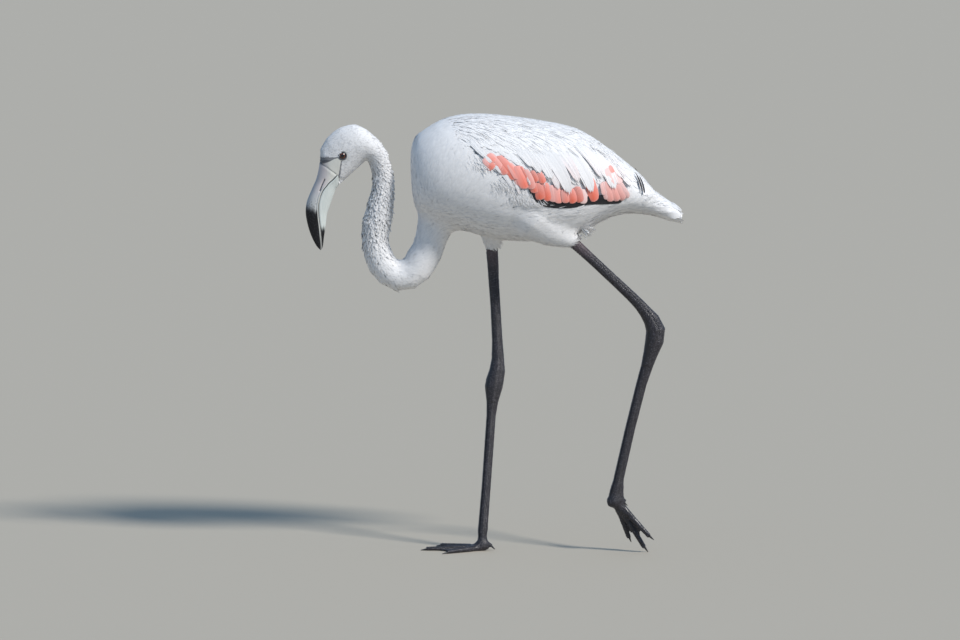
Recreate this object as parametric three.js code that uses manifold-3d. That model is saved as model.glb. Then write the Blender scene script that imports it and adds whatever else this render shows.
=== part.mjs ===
// A young greater flamingo, life size, wading with its head held low.
// Millimetres, +Z up. The bird faces -X, so its left side is towards -Y. The soles rest on Z = 0.
import * as THREE from 'three';
import { mergeVertices } from 'three/addons/utils/BufferGeometryUtils.js';
import Module from 'manifold-3d';

const wasm = await Module();
wasm.setup();

// ---------------------------------------------------------------- driving dimensions

const GAP = 0.3; // clearance between neighbouring pieces
const MERGE = 1e-4; // vertices closer than this are one
const FAR = 900; // past the bird on every side

const WING_THICKNESS = 12; // folded wing, with the scapular feathers that lie on it
const WING_PROUD = 2; // how far the folded wing stands out of the flank
const MANTLE_HALF_WIDTH = 13; // strip of back feathers that parts the wings
const TAIL_ROOT_X = 212; // where the tail feathers leave the rump
const TAIL_SLANT = 14; // how far the tail's root leans forward from the floor up
const THINNEST = 4; // half of the least that the body is drawn in to

// Corners round each kind of tube.
const SIDES = { head: 20, neck: 16, body: 24, thigh: 16, leg: 12, toe: 8, claw: 6, eye: 14 };
const BODY_STEPS = 2; // rings drawn for each row of the body's table
const BODY_ROUNDNESS = 2.15; // 2 is an ellipse, more is squarer

const EYE_RADIUS = 8;
const EYE_CENTRE = { x: -247, side: 14.6, z: 655 };

// Trunk, tail and folded wings in one outline, from breast to tail tip:
// x, height of the back, height of the underside, half-width.
const BODY = [
  [-136, 652, 634, 13],
  [-134, 672, 598, 34],
  [-128, 685, 567, 52],
  [-114, 697, 555, 67],
  [-88, 712, 543, 82],
  [-47, 722, 530, 93],
  [10, 720, 515, 98],
  [76, 711, 513, 95],
  [133, 699, 522, 85],
  [174, 675, 545, 73],
  [207, 650, 557, 61],
  [240, 622, 558, 49],
  [264, 595, 554, 39],
  [286, 580, 547, 31],
  [302, 567, 544, 25],
  [307, 559, 548, 18],
];

// Bill, head and throat as one tube, from the bill's tip to the top of the neck:
// x and z of the culmen, crown or nape, x and z of the keel, chin or throat, half-width.
const HEAD = [
  [-284, 498, -282, 499, 1.2],
  [-291, 506, -280, 505, 3.4],
  [-299, 522, -278, 520, 6],
  [-305, 541, -275, 541, 8.5],
  [-308, 560, -273, 557, 10.5],
  [-306, 578, -267, 575, 12],
  [-298, 598, -262, 589, 12.8],
  [-290, 617, -259, 598, 13],
  [-285, 642, -255, 603, 14.2],
  [-284, 665, -246, 613, 17],
  [-273, 683, -236, 621, 20],
  [-252, 702, -224, 632, 23.5],
  [-228, 708, -214, 641, 25],
  [-206, 697, -209, 646, 24],
  [-188, 678, -206, 645, 21.5],
  [-176, 661, -205, 643, 19.5],
  [-169, 640, -204, 640, 18],
];

// The mouth line from below the bill's tip, round its bend and up to the gape.
const MOUTH = [
  [-280, 470],
  [-281, 501],
  [-284, 536],
  [-286.5, 560],
  [-286.5, 578],
  [-284, 590],
  [-277, 601],
  [-258, 620],
  [-230, 648],
];

// Where horn ends and the face begins: forehead, gape, chin.
const BILL_BASE = [
  [-310, 660],
  [-290, 645],
  [-258, 620],
  [-255, 596],
  [-245, 400],
];

// Middle of the neck, from below the head down and round the low bend into the breast:
// x, z, y, depth.
const NECK = [
  [-182, 624, 0, 34],
  [-181, 607, 0, 36],
  [-182, 591, 0, 39],
  [-185, 574, 0, 43],
  [-188, 558, 0, 46],
  [-192, 541, 0, 47],
  [-194, 525, 0, 45],
  [-194, 508, 0, 44],
  [-190, 492, 0, 46],
  [-183, 476, 0, 48],
  [-172, 463, 0, 48],
  [-157, 455, 0, 48],
  [-141, 457, 0, 49],
  [-127, 468, 0, 52],
  [-118, 483, 0, 54],
  [-109, 498, 0, 52],
  [-103, 517, 0, 52],
  [-98, 533, 0, 57],
  [-91, 553, 0, 68],
  [-83, 573, 0, 80],
];
const NECK_WIDTH_RATIO = 0.94;
const NECK_UPPER_END = 8; // station where the straight upper part ends
const NECK_BEND_END = 16; // station where the low bend ends

// Side view of the folded wing: shoulder, lower edge, folded tips, and well clear of the back.
const WING = [
  [-77, 790],
  [-88, 709],
  [-68, 676],
  [-39, 651],
  [-3, 621],
  [27, 602],
  [55, 582],
  [179, 579],
  [220, 582],
  [246, 591],
  [262, 606],
  [290, 790],
];

// Legs, from inside the trunk down to the toe joint: x, z, y, fore-and-aft depth.
const LEG_RIGHT = [
  [10, 600, 50, 96],
  [6, 560, 48, 84],
  [-1, 536, 44, 58],
  [-3, 517, 41, 38],
  [-3, 497, 39, 19.5],
  [-1, 470, 37, 18],
  [0, 447, 36, 17],
  [3, 402, 34, 16],
  [6, 346, 31, 17],
  [7, 316, 29.5, 20],
  [6, 296, 28.5, 25.5],
  [2, 279, 28, 29],
  [0, 268, 27.5, 28.5],
  [-1, 257, 27, 24],
  [-2, 245, 26.5, 19],
  [-4, 222, 25, 15],
  [-12, 108, 16.5, 14.5],
  [-17, 44, 11, 15.5],
  [-18.5, 24, 9.5, 16.5],
  [-19, 9, 8, 15],
];
const LEG_LEFT = [
  [30, 596, -52, 96],
  [72, 557, -49, 88],
  [100, 533.5, -44, 57],
  [119, 522, -41, 36],
  [132, 513, -38.5, 17.5],
  [158, 489, -37, 15.6],
  [194, 455, -34, 15.6],
  [224, 426.5, -31.5, 16.5],
  [239, 411, -30, 18],
  [248, 400, -29.5, 20.5],
  [258, 387, -28.5, 26],
  [265, 370, -27.5, 31],
  [263, 351, -27, 30],
  [257, 331, -26.5, 23.5],
  [251, 310, -26, 19],
  [242, 280, -24.5, 16.7],
  [224, 207, -21, 16],
  [206, 126, -17, 16.4],
  [201, 98, -15.5, 17],
  [198.5, 84.8, -15, 15],
];
const FEATHERS_END = 4; // station of both legs where the feathered thigh ends
const ANKLE_START = 9; // station where the ankle swells out of the shin
const ANKLE_END = 14; // station where the tarsus begins
const THIGH_WIDTH_RATIO = 0.84;
const THIGH_CLEARANCE = 1; // between a thigh and the folded wing
const SHIN_WIDTH_RATIO = 0.84;
const TARSUS_WIDTH_RATIO = 0.72;

// Feet. Lengths run from the toe joint to the root of the claw.
const TOES = { middle: 91, inner: 68, outer: 80 };
const HIND_TOE = { length: 14, x: 5, z: 8.5, pitch: 34 }; // its root, from the toe joint
const TOE_ROOT = { width: 12, height: 12 };
const TOE_TIP = { width: 7.5, height: 6.5 };
const HIND_ROOT = { width: 8, height: 9 };
const HIND_TIP = { width: 5, height: 5 };
const TOE_ABOVE = 0.92; // share of a toe's height above the line of its sole; the rest is below it
const TOE_RINGS = 3;
const CLAW = { length: 10, width: 5.4, height: 4.6, tip: 1.2 };
const HIND_CLAW_LENGTH = 8;
const SPREAD_ANGLE = 33; // degrees between the middle toe and each side toe, foot on the ground
const FOLDED_ANGLE = 16; // the same on the lifted foot
const JOINT_KNOB = { length: 25, width: 19, height: 23, centre: 9, sides: 12, rings: 7 };
const SOCKET_CLEARANCE = 0.9; // between a tarsus and its foot
const WEB = { thickness: 1.6, low: 1.4, reach: 0.86, dip: 0.66, steps: 5 };
// Where each toe joint is, and how the foot turns about it: nose down, then about the middle toe.
const FOOT_RIGHT = { x: -19, y: 8, z: JOINT_KNOB.centre, pitch: 0, roll: 0, spread: SPREAD_ANGLE };
const FOOT_LEFT = { x: 198.5, y: -15, z: 84.8, pitch: 120, roll: 50, spread: FOLDED_ANGLE };

const PLUMAGE = { color: 0xf3eff0, roughness: 0.85, metalness: 0 };
const COVERTS = { color: 0xf0b9ae, roughness: 0.8, metalness: 0 };
const PALE_HORN = { color: 0xcfcfcf, roughness: 0.45, metalness: 0 };
const EYE = { color: 0x6e4a35, roughness: 0.08, metalness: 0 };
const LEG_SKIN = { color: 0x3b3a40, roughness: 0.5, metalness: 0 };
const CLAW_HORN = { color: 0x1c1b1d, roughness: 0.4, metalness: 0 };

// ---------------------------------------------------------------- solids

// A closed geometry as a solid that can be joined and cut.
function toSolid(geometry) {
  const bare = geometry.clone();
  bare.deleteAttribute('normal');
  bare.deleteAttribute('uv');
  const merged = mergeVertices(bare, MERGE);
  const mesh = new wasm.Mesh({
    numProp: 3,
    vertProperties: new Float32Array(merged.attributes.position.array),
    triVerts: new Uint32Array(merged.index.array),
  });
  return new wasm.Manifold(mesh);
}

function toGeometry(solid) {
  const { vertProperties, triVerts } = solid.getMesh();
  const geometry = new THREE.BufferGeometry();
  geometry.setAttribute('position', new THREE.BufferAttribute(vertProperties, 3));
  geometry.setIndex(new THREE.BufferAttribute(triVerts, 1));
  geometry.computeVertexNormals();
  return geometry;
}

// A closed body through rings of equal size, turned so that its faces point out.
function loft(rings) {
  const sides = rings[0].length;
  const points = rings.flat();
  const faces = [];
  for (let r = 0; r < rings.length - 1; r += 1) {
    for (let s = 0; s < sides; s += 1) {
      const a = r * sides + s;
      const b = r * sides + ((s + 1) % sides);
      faces.push([a, b, b + sides], [a, b + sides, a + sides]);
    }
  }
  for (const end of [0, rings.length - 1]) {
    const middle = new THREE.Vector3();
    rings[end].forEach((point) => middle.addScaledVector(point, 1 / sides));
    points.push(middle);
    for (let s = 0; s < sides; s += 1) {
      const edge = [end * sides + s, end * sides + ((s + 1) % sides)];
      faces.push(end === 0 ? [edge[1], edge[0], points.length - 1] : [...edge, points.length - 1]);
    }
  }
  const volume = faces.reduce(
    (sum, [a, b, c]) => sum + points[a].dot(new THREE.Vector3().crossVectors(points[b], points[c])),
    0,
  );
  const outward = volume > 0 ? faces : faces.map(([a, b, c]) => [a, c, b]);
  const geometry = new THREE.BufferGeometry().setFromPoints(points);
  geometry.setIndex(outward.flat());
  return geometry;
}

// One cross-section between two edge points of the side view, rounded out to its half-width.
function section([x1, z1, x2, z2, halfWidth, y = 0], sides, squareness = 2) {
  const rounded = (value) => Math.sign(value) * Math.abs(value) ** (2 / squareness);
  return Array.from({ length: sides }, (_, s) => {
    const angle = (2 * Math.PI * s) / sides;
    const along = rounded(Math.cos(angle));
    return new THREE.Vector3(
      (x1 + x2) / 2 + (along * (x1 - x2)) / 2,
      y + halfWidth * rounded(Math.sin(angle)),
      (z1 + z2) / 2 + (along * (z1 - z2)) / 2,
    );
  });
}

// More stations along a table: each column runs through its values as one smooth curve.
function refine(stations, steps) {
  const last = stations.length - 1;
  const curve = (t, a, b, c, d) =>
    b + 0.5 * t * (c - a + t * (2 * a - 5 * b + 4 * c - d + t * (3 * (b - c) + d - a)));
  const fine = [];
  for (let i = 0; i < last; i += 1) {
    const near = [i - 1, i, i + 1, i + 2].map((k) => stations[Math.min(Math.max(k, 0), last)]);
    for (let step = 0; step < steps; step += 1) {
      fine.push(near[1].map((_, column) => curve(step / steps, ...near.map((row) => row[column]))));
    }
  }
  fine.push(stations[last]);
  return fine;
}

// Turns a middle line with depths into stations whose sections stand square to the line.
function stationsAlong(path, widthRatio) {
  return path.map(([x, z, y, depth], i) => {
    const before = path[Math.max(i - 1, 0)];
    const after = path[Math.min(i + 1, path.length - 1)];
    const run = Math.hypot(after[0] - before[0], after[1] - before[1]);
    const across = (-(after[1] - before[1]) / run) * (depth / 2);
    const up = ((after[0] - before[0]) / run) * (depth / 2);
    return [x + across, z + up, x - across, z - up, (depth / 2) * widthRatio, y];
  });
}

// Draws both ends of a tube back by half a gap, so that the next length just clears it.
function clearEnds(stations) {
  const toward = (from, to) => {
    const middle = (row) => [(row[0] + row[2]) / 2, (row[1] + row[3]) / 2];
    const [a, b] = [middle(from), middle(to)];
    const t = GAP / 2 / Math.hypot(b[0] - a[0], b[1] - a[1]);
    return from.map((value, column) => value + (to[column] - value) * t);
  };
  const last = stations.length - 1;
  return [
    toward(stations[0], stations[1]),
    ...stations.slice(1, last),
    toward(stations[last], stations[last - 1]),
  ];
}

function tube(stations, sides, squareness) {
  return loft(stations.map((station) => section(station, sides, squareness)));
}

// A side-view outline carried straight through from one y to another.
function prism(outline, yFrom, yTo) {
  const shape = new THREE.Shape(outline.map(([x, z]) => new THREE.Vector2(x, z)));
  const geometry = new THREE.ExtrudeGeometry(shape, { depth: yTo - yFrom, bevelEnabled: false });
  geometry.rotateX(Math.PI / 2);
  geometry.translate(0, yTo, 0);
  return toSolid(geometry);
}

// Moves a line sideways: to its left for a positive distance, to its right for a negative one.
function offsetLine(line, distance) {
  return line.map(([x, z], i) => {
    const before = line[Math.max(i - 1, 0)];
    const after = line[Math.min(i + 1, line.length - 1)];
    const run = Math.hypot(after[0] - before[0], after[1] - before[1]);
    return [
      x - ((after[1] - before[1]) / run) * distance,
      z + ((after[0] - before[0]) / run) * distance,
    ];
  });
}

// Everything on one side of a line of the side view; side is +1 for its left, -1 for its right.
function sideOf(line, side, farCorners) {
  return prism([...offsetLine(line, (side * GAP) / 2), ...farCorners], -FAR, FAR);
}

// Everything above the floor.
function aboveFloor() {
  const space = new THREE.BoxGeometry(2 * FAR, 2 * FAR, FAR);
  space.translate(0, 0, FAR / 2);
  return toSolid(space);
}

// ---------------------------------------------------------------- bill, head and eyes

function eyeball(side, radius) {
  const ball = new THREE.SphereGeometry(radius, SIDES.eye, SIDES.eye / 2 + 1);
  ball.translate(EYE_CENTRE.x, side * EYE_CENTRE.side, EYE_CENTRE.z);
  return ball;
}

function headPieces() {
  const whole = toSolid(tube(clearEnds(HEAD), SIDES.head));
  const [mouthLow, mouthHigh] = [MOUTH[0][1], MOUTH[MOUTH.length - 1][1]];
  const leftOfMouth = [[-FAR, mouthHigh], [-FAR, mouthLow]];
  const rightOfMouth = [[0, mouthHigh], [0, mouthLow]];
  const [foreheadX, foreheadZ] = BILL_BASE[0];
  const throatZ = BILL_BASE[BILL_BASE.length - 1][1];
  const billOfBase = [[-FAR, throatZ], [-FAR, foreheadZ]];
  const headOfBase = [[0, throatZ], [0, FAR], [foreheadX, FAR]];
  const bill = whole.intersect(sideOf(BILL_BASE, -1, billOfBase));
  let head = whole.intersect(sideOf(BILL_BASE, 1, headOfBase));
  for (const side of [-1, 1]) {
    head = head.subtract(toSolid(eyeball(side, EYE_RADIUS + GAP)));
  }
  return {
    upperBill: bill.intersect(sideOf(MOUTH, 1, leftOfMouth)),
    lowerBill: bill.intersect(sideOf(MOUTH, -1, rightOfMouth)),
    head,
  };
}

// ---------------------------------------------------------------- trunk, wings, tail and neck

// The whole body, grown or shrunk all round by a distance.
function body(growth) {
  const rows = BODY.map(([x, top, under, halfWidth]) => {
    const spare = Math.min((top - under) / 2, halfWidth) - THINNEST;
    const room = Math.min(0, spare + growth);
    const change = growth - room;
    return [x, top + change, x, under - change, halfWidth + change];
  });
  rows[0] = rows[0].map((value, column) => (column % 2 === 0 && column < 4 ? value - growth : value));
  return toSolid(tube(refine(rows, BODY_STEPS), SIDES.body, BODY_ROUNDNESS));
}

function wingSpace(side, growth) {
  const inner = MANTLE_HALF_WIDTH - growth;
  const [yFrom, yTo] = side < 0 ? [-FAR, -inner] : [inner, FAR];
  return prism(offsetLine(WING, -growth), yFrom, yTo);
}

function bodyPieces() {
  const sides = [-1, 1];
  const proud = body(WING_PROUD);
  const coreForWings = body(GAP - WING_THICKNESS);
  const core = body(-WING_THICKNESS);
  const wings = sides.map((side) => proud.intersect(wingSpace(side, 0)).subtract(coreForWings));
  let rest = body(0);
  for (const side of sides) {
    rest = rest.subtract(wingSpace(side, GAP).subtract(core));
  }
  const tailLine = [[TAIL_ROOT_X + TAIL_SLANT, 0], [TAIL_ROOT_X - TAIL_SLANT, FAR]];
  const trunk = rest.intersect(sideOf(tailLine, 1, [[-FAR, FAR], [-FAR, 0]]));
  const tail = rest.intersect(sideOf(tailLine, -1, [[FAR, FAR], [FAR, 0]]));
  return { trunk, tail, wings };
}

// A length of the neck between two stations, counted from the section where the head ends.
function neckLength(from, to) {
  const throat = HEAD[HEAD.length - 1];
  const stations = [[...throat, 0], ...stationsAlong(NECK, NECK_WIDTH_RATIO)].slice(from, to + 1);
  return toSolid(tube(clearEnds(stations), SIDES.neck));
}

// ---------------------------------------------------------------- legs

// A length of a leg between two stations.
function legLength(path, from, to, widthRatio, sides = SIDES.leg) {
  const stations = stationsAlong(path, widthRatio).slice(from, to + 1);
  return toSolid(tube(clearEnds(stations), sides));
}

// The space that the lower end of a tarsus takes up in its foot, with clearance all round.
function tarsusSocket(path) {
  const grown = path.map(([x, z, y, depth]) => [x, z, y, depth + SOCKET_CLEARANCE]);
  return toSolid(tube(stationsAlong(grown, TARSUS_WIDTH_RATIO).slice(ANKLE_END), SIDES.leg));
}

function thigh(path, spaces) {
  const whole = legLength(path, 0, FEATHERS_END, THIGH_WIDTH_RATIO, SIDES.thigh);
  return spaces.reduce((solid, space) => solid.subtract(space), whole);
}

// A toe or claw as a tapered tube lying along -X, its underside on the sole's plane.
function taperedTube(start, length, root, tip, sides) {
  const stations = Array.from({ length: TOE_RINGS + 1 }, (_, i) => {
    const t = i / TOE_RINGS;
    const height = root.height + (tip.height - root.height) * t;
    const width = root.width + (tip.width - root.width) * t;
    const x = -(start + length * t);
    return [x, TOE_ABOVE * height, x, (TOE_ABOVE - 1) * height, width / 2];
  });
  return tube(stations, sides);
}

// The web between the middle toe and a side toe, which is turned from it about the toe joint.
function webBetween(turn, shortLength, longLength) {
  const at = (length, angle) => [-length * Math.cos(angle), length * Math.sin(angle)];
  const shape = new THREE.Shape();
  shape.moveTo(0, 0);
  shape.lineTo(...at(longLength * WEB.reach, 0));
  const dip = at(((longLength + shortLength) / 2) * WEB.dip, turn / 2);
  shape.quadraticCurveTo(...dip, ...at(shortLength * WEB.reach, turn));
  shape.closePath();
  const web = new THREE.ExtrudeGeometry(shape, {
    depth: WEB.thickness,
    bevelEnabled: false,
    curveSegments: WEB.steps,
  });
  web.translate(0, 0, WEB.low);
  return web;
}

// One foot: knob, three webbed toes and the hind toe as one solid, and a claw for each toe.
function foot(side, place) {
  const [spread, pitch, roll] = [place.spread, place.pitch, place.roll].map(THREE.MathUtils.degToRad);
  const turns = { middle: 0, inner: -side * spread, outer: side * spread };
  const joint = new THREE.Matrix4().makeTranslation(place.x, place.y, place.z);
  const sole = new THREE.Matrix4()
    .multiply(joint)
    .multiply(new THREE.Matrix4().makeRotationY(-pitch))
    .multiply(new THREE.Matrix4().makeRotationX(roll))
    .multiply(new THREE.Matrix4().makeTranslation(0, 0, -JOINT_KNOB.centre));
  const placed = (geometry, matrix = sole) => toSolid(geometry.applyMatrix4(matrix));
  const floorSpace = aboveFloor();
  const clawEnds = [
    { width: CLAW.width, height: CLAW.height },
    { width: CLAW.tip, height: CLAW.tip },
  ];

  const knob = new THREE.SphereGeometry(0.5, JOINT_KNOB.sides, JOINT_KNOB.rings);
  knob.scale(JOINT_KNOB.length, JOINT_KNOB.width, JOINT_KNOB.height);
  let solid = placed(knob, joint);
  const claws = {};
  for (const [name, length] of Object.entries(TOES)) {
    const toe = taperedTube(0, length, TOE_ROOT, TOE_TIP, SIDES.toe);
    const claw = taperedTube(length + GAP, CLAW.length, ...clawEnds, SIDES.claw);
    solid = solid.add(placed(toe.rotateZ(-turns[name])));
    claws[name] = placed(claw.rotateZ(-turns[name])).intersect(floorSpace);
  }
  for (const name of ['inner', 'outer']) {
    solid = solid.add(placed(webBetween(turns[name], TOES[name], TOES.middle)));
  }

  const behind = new THREE.Matrix4()
    .multiply(joint)
    .multiply(new THREE.Matrix4().makeTranslation(HIND_TOE.x, 0, HIND_TOE.z))
    .multiply(new THREE.Matrix4().makeRotationY(THREE.MathUtils.degToRad(HIND_TOE.pitch)))
    .multiply(new THREE.Matrix4().makeRotationZ(Math.PI))
    .multiply(new THREE.Matrix4().makeTranslation(0, 0, -HIND_ROOT.height / 2));
  const hindToe = taperedTube(0, HIND_TOE.length, HIND_ROOT, HIND_TIP, SIDES.toe);
  const hindClaw = taperedTube(HIND_TOE.length + GAP, HIND_CLAW_LENGTH, ...clawEnds, SIDES.claw);
  solid = solid.add(placed(hindToe, behind));
  claws.hind = placed(hindClaw, behind).intersect(floorSpace);
  return { solid: solid.intersect(floorSpace), claws };
}

// ---------------------------------------------------------------- the bird

function buildBird() {
  const bird = new THREE.Group();
  const add = (name, solid, look) => {
    const mesh = new THREE.Mesh(toGeometry(solid), new THREE.MeshStandardMaterial(look));
    mesh.name = name;
    bird.add(mesh);
  };

  const { upperBill, lowerBill, head } = headPieces();
  add('head', head, PLUMAGE);
  add('upper_bill', upperBill, PALE_HORN);
  add('lower_bill', lowerBill, PALE_HORN);
  add('eye_left', toSolid(eyeball(-1, EYE_RADIUS)), EYE);
  add('eye_right', toSolid(eyeball(1, EYE_RADIUS)), EYE);

  const grown = body(GAP);
  add('neck_upper', neckLength(0, NECK_UPPER_END), PLUMAGE);
  add('neck_middle', neckLength(NECK_UPPER_END, NECK_BEND_END), PLUMAGE);
  add('neck_lower', neckLength(NECK_BEND_END, NECK.length).subtract(grown), PLUMAGE);

  const { trunk, tail, wings } = bodyPieces();
  add('trunk', trunk, PLUMAGE);
  add('tail', tail, PLUMAGE);
  add('wing_left', wings[0], COVERTS);
  add('wing_right', wings[1], COVERTS);

  const legs = [
    { name: 'left', side: -1, path: LEG_LEFT, place: FOOT_LEFT },
    { name: 'right', side: 1, path: LEG_RIGHT, place: FOOT_RIGHT },
  ];
  for (const { name, side, path, place } of legs) {
    const { solid, claws } = foot(side, place);
    const shin = legLength(path, FEATHERS_END, ANKLE_START, SHIN_WIDTH_RATIO);
    add(`thigh_${name}`, thigh(path, [grown, wingSpace(side, THIGH_CLEARANCE)]), PLUMAGE);
    add(`shin_${name}`, shin, LEG_SKIN);
    add(`ankle_${name}`, legLength(path, ANKLE_START, ANKLE_END, SHIN_WIDTH_RATIO), LEG_SKIN);
    const tarsus = legLength(path, ANKLE_END, path.length - 1, TARSUS_WIDTH_RATIO);
    add(`tarsus_${name}`, tarsus, LEG_SKIN);
    add(`foot_${name}`, solid.subtract(tarsusSocket(path)), LEG_SKIN);
    for (const [toe, claw] of Object.entries(claws)) {
      add(`claw_${name}_${toe}`, claw, CLAW_HORN);
    }
  }

  // The origin is under the middle of the bird's length.
  const middle = new THREE.Box3().setFromObject(bird).getCenter(new THREE.Vector3());
  bird.position.set(-middle.x, -middle.y, 0);
  return bird;
}

const group = buildBird();

export default group;
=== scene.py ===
"""A young greater flamingo, wading with its head held low: a still, life-size museum model.

Metres, +Z up. The bird faces -X, so its left side is towards -Y. Tables are in millimetres.
"""

import heapq
import math

import bmesh
import bpy
import numpy as np
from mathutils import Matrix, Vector
from mathutils.bvhtree import BVHTree
from mathutils.kdtree import KDTree


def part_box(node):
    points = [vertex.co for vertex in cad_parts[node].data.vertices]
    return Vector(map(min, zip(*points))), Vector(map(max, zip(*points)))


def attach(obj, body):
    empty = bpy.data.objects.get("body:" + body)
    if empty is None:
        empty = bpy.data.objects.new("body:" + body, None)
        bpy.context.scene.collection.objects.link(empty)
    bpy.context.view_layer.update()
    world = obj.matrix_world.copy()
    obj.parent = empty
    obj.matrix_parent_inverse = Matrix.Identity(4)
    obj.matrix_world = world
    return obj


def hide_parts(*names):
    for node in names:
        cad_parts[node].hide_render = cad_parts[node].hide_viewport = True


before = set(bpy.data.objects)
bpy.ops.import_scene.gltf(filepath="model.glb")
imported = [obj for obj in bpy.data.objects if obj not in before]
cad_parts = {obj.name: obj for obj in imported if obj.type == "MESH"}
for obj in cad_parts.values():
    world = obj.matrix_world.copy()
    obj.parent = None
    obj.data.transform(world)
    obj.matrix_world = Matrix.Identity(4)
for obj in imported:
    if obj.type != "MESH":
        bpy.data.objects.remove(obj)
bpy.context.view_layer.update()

MM = 0.001
BODY = "root"
CENTRED = 0.5 * MM  # the model was moved this far along x when it was centred over the origin
SIDES = {"left": -1, "right": 1}

# ---------------------------------------------------------------- camera, light and floor

IMAGE_WIDTH = 960  # pixels
PIXEL = 1.64 * MM  # what one pixel covers at the bird
CAMERA_TARGET = Vector((-22.05, 0, 382.9)) * MM
CAMERA_ELEVATION = math.radians(6.5)
CAMERA_DISTANCE = 12.0
CAMERA_REACH = 100  # the furthest that it sees
SENSOR = 36.0  # millimetres

SUN_FROM = Vector((0.58, -0.48, 0.66))
SUN_STRENGTH = 3.3
SUN_WIDTH = math.radians(11)  # a wide sun throws soft shadows
SUN_COLOUR = (1.0, 0.97, 0.93)
SKY_COLOUR = (0.43, 0.67, 1.0, 1)
SKY_STRENGTH = 0.5
FLOOR_SIZE = 60.0
FLOOR_COLOUR = (0.46, 0.41, 0.335, 1)


def make_camera():
    data = bpy.data.cameras.new("camera")
    data.sensor_width = SENSOR
    data.lens = SENSOR * CAMERA_DISTANCE / (IMAGE_WIDTH * PIXEL)
    data.clip_end = CAMERA_REACH
    camera = bpy.data.objects.new("camera", data)
    back = Vector((0, -math.cos(CAMERA_ELEVATION), math.sin(CAMERA_ELEVATION)))
    camera.location = CAMERA_TARGET + back * CAMERA_DISTANCE
    camera.rotation_euler = (math.pi / 2 - CAMERA_ELEVATION, 0, 0)
    bpy.context.scene.collection.objects.link(camera)
    bpy.context.scene.camera = camera


def make_light():
    key = bpy.data.lights.new("key", "SUN")
    key.energy = SUN_STRENGTH
    key.angle = SUN_WIDTH
    key.color = SUN_COLOUR
    lamp = bpy.data.objects.new("key", key)
    lamp.rotation_euler = SUN_FROM.to_track_quat("Z", "Y").to_euler()
    bpy.context.scene.collection.objects.link(lamp)
    world = bpy.data.worlds.new("studio")
    bpy.context.scene.world = world
    world.use_nodes = True
    sky = world.node_tree.nodes["Background"]
    sky.inputs["Color"].default_value = SKY_COLOUR
    sky.inputs["Strength"].default_value = SKY_STRENGTH
    bpy.context.scene.view_settings.view_transform = "Standard"


def make_floor():
    bm = bmesh.new()
    bmesh.ops.create_grid(bm, x_segments=1, y_segments=1, size=FLOOR_SIZE / 2)
    mesh = finished(bm, "floor")
    floor = bpy.data.objects.new("floor", mesh)
    bpy.context.scene.collection.objects.link(floor)
    mesh.materials.append(Look("pale floor").finish({"Base Color": FLOOR_COLOUR, "Roughness": 0.9}))


# ---------------------------------------------------------------- small tools


def unit(vectors):
    length = np.linalg.norm(vectors, axis=-1, keepdims=True)
    return vectors / np.maximum(length, 1e-12)


def dot(a, b):
    return (a * b).sum(-1)


def ramp(value, low, high):
    """0 below low and 1 above high, with a soft run between them."""
    t = np.clip((value - low) / (high - low), 0, 1)
    return t * t * (3 - 2 * t)


def bulge(value, middle, width):
    """1 at the middle, with a rounded fall to 0 a couple of widths away."""
    return np.exp(-(((value - middle) / width) ** 2))


def mixed(a, b, share):
    """Rows of a drawn towards rows of b by a share for each."""
    share = np.asarray(share)[..., None]
    return a * (1 - share) + b * share


def turned(way, out, angle):
    """Directions turned over the skin by an angle in radians."""
    across = np.cross(out, way)
    return way * np.cos(angle)[:, None] + across * np.sin(angle)[:, None]


def along_table(table, value):
    """Each column of a table, read at a value of its first column."""
    rows = np.array(table, float)
    return [np.interp(value, rows[:, 0], rows[:, k]) for k in range(1, rows.shape[1])]


def near_line(points, line):
    """Distance in the side view from points to a line of x, z corners."""
    flat = points[..., (0, 2)]
    best = np.full(flat.shape[:-1], np.inf)
    for a, b in zip(line, line[1:]):
        a, b = np.array(a, float) * MM, np.array(b, float) * MM
        t = np.clip(((flat - a) @ (b - a)) / ((b - a) @ (b - a)), 0, 1)
        best = np.minimum(best, np.linalg.norm(flat - a - t[..., None] * (b - a), axis=-1))
    return best


def inside(points, outline):
    """Which points lie inside an outline of x, z corners in the side view."""
    x, z = points[..., 0], points[..., 2]
    within = np.zeros(x.shape, bool)
    for (x1, z1), (x2, z2) in zip(outline, outline[1:] + outline[:1]):
        x1, z1, x2, z2 = x1 * MM, z1 * MM, x2 * MM, z2 * MM
        if z1 == z2:
            continue
        crosses = (z1 > z) != (z2 > z)
        within ^= crosses & (x < (x2 - x1) * (z - z1) / (z2 - z1) + x1)
    return within


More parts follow.
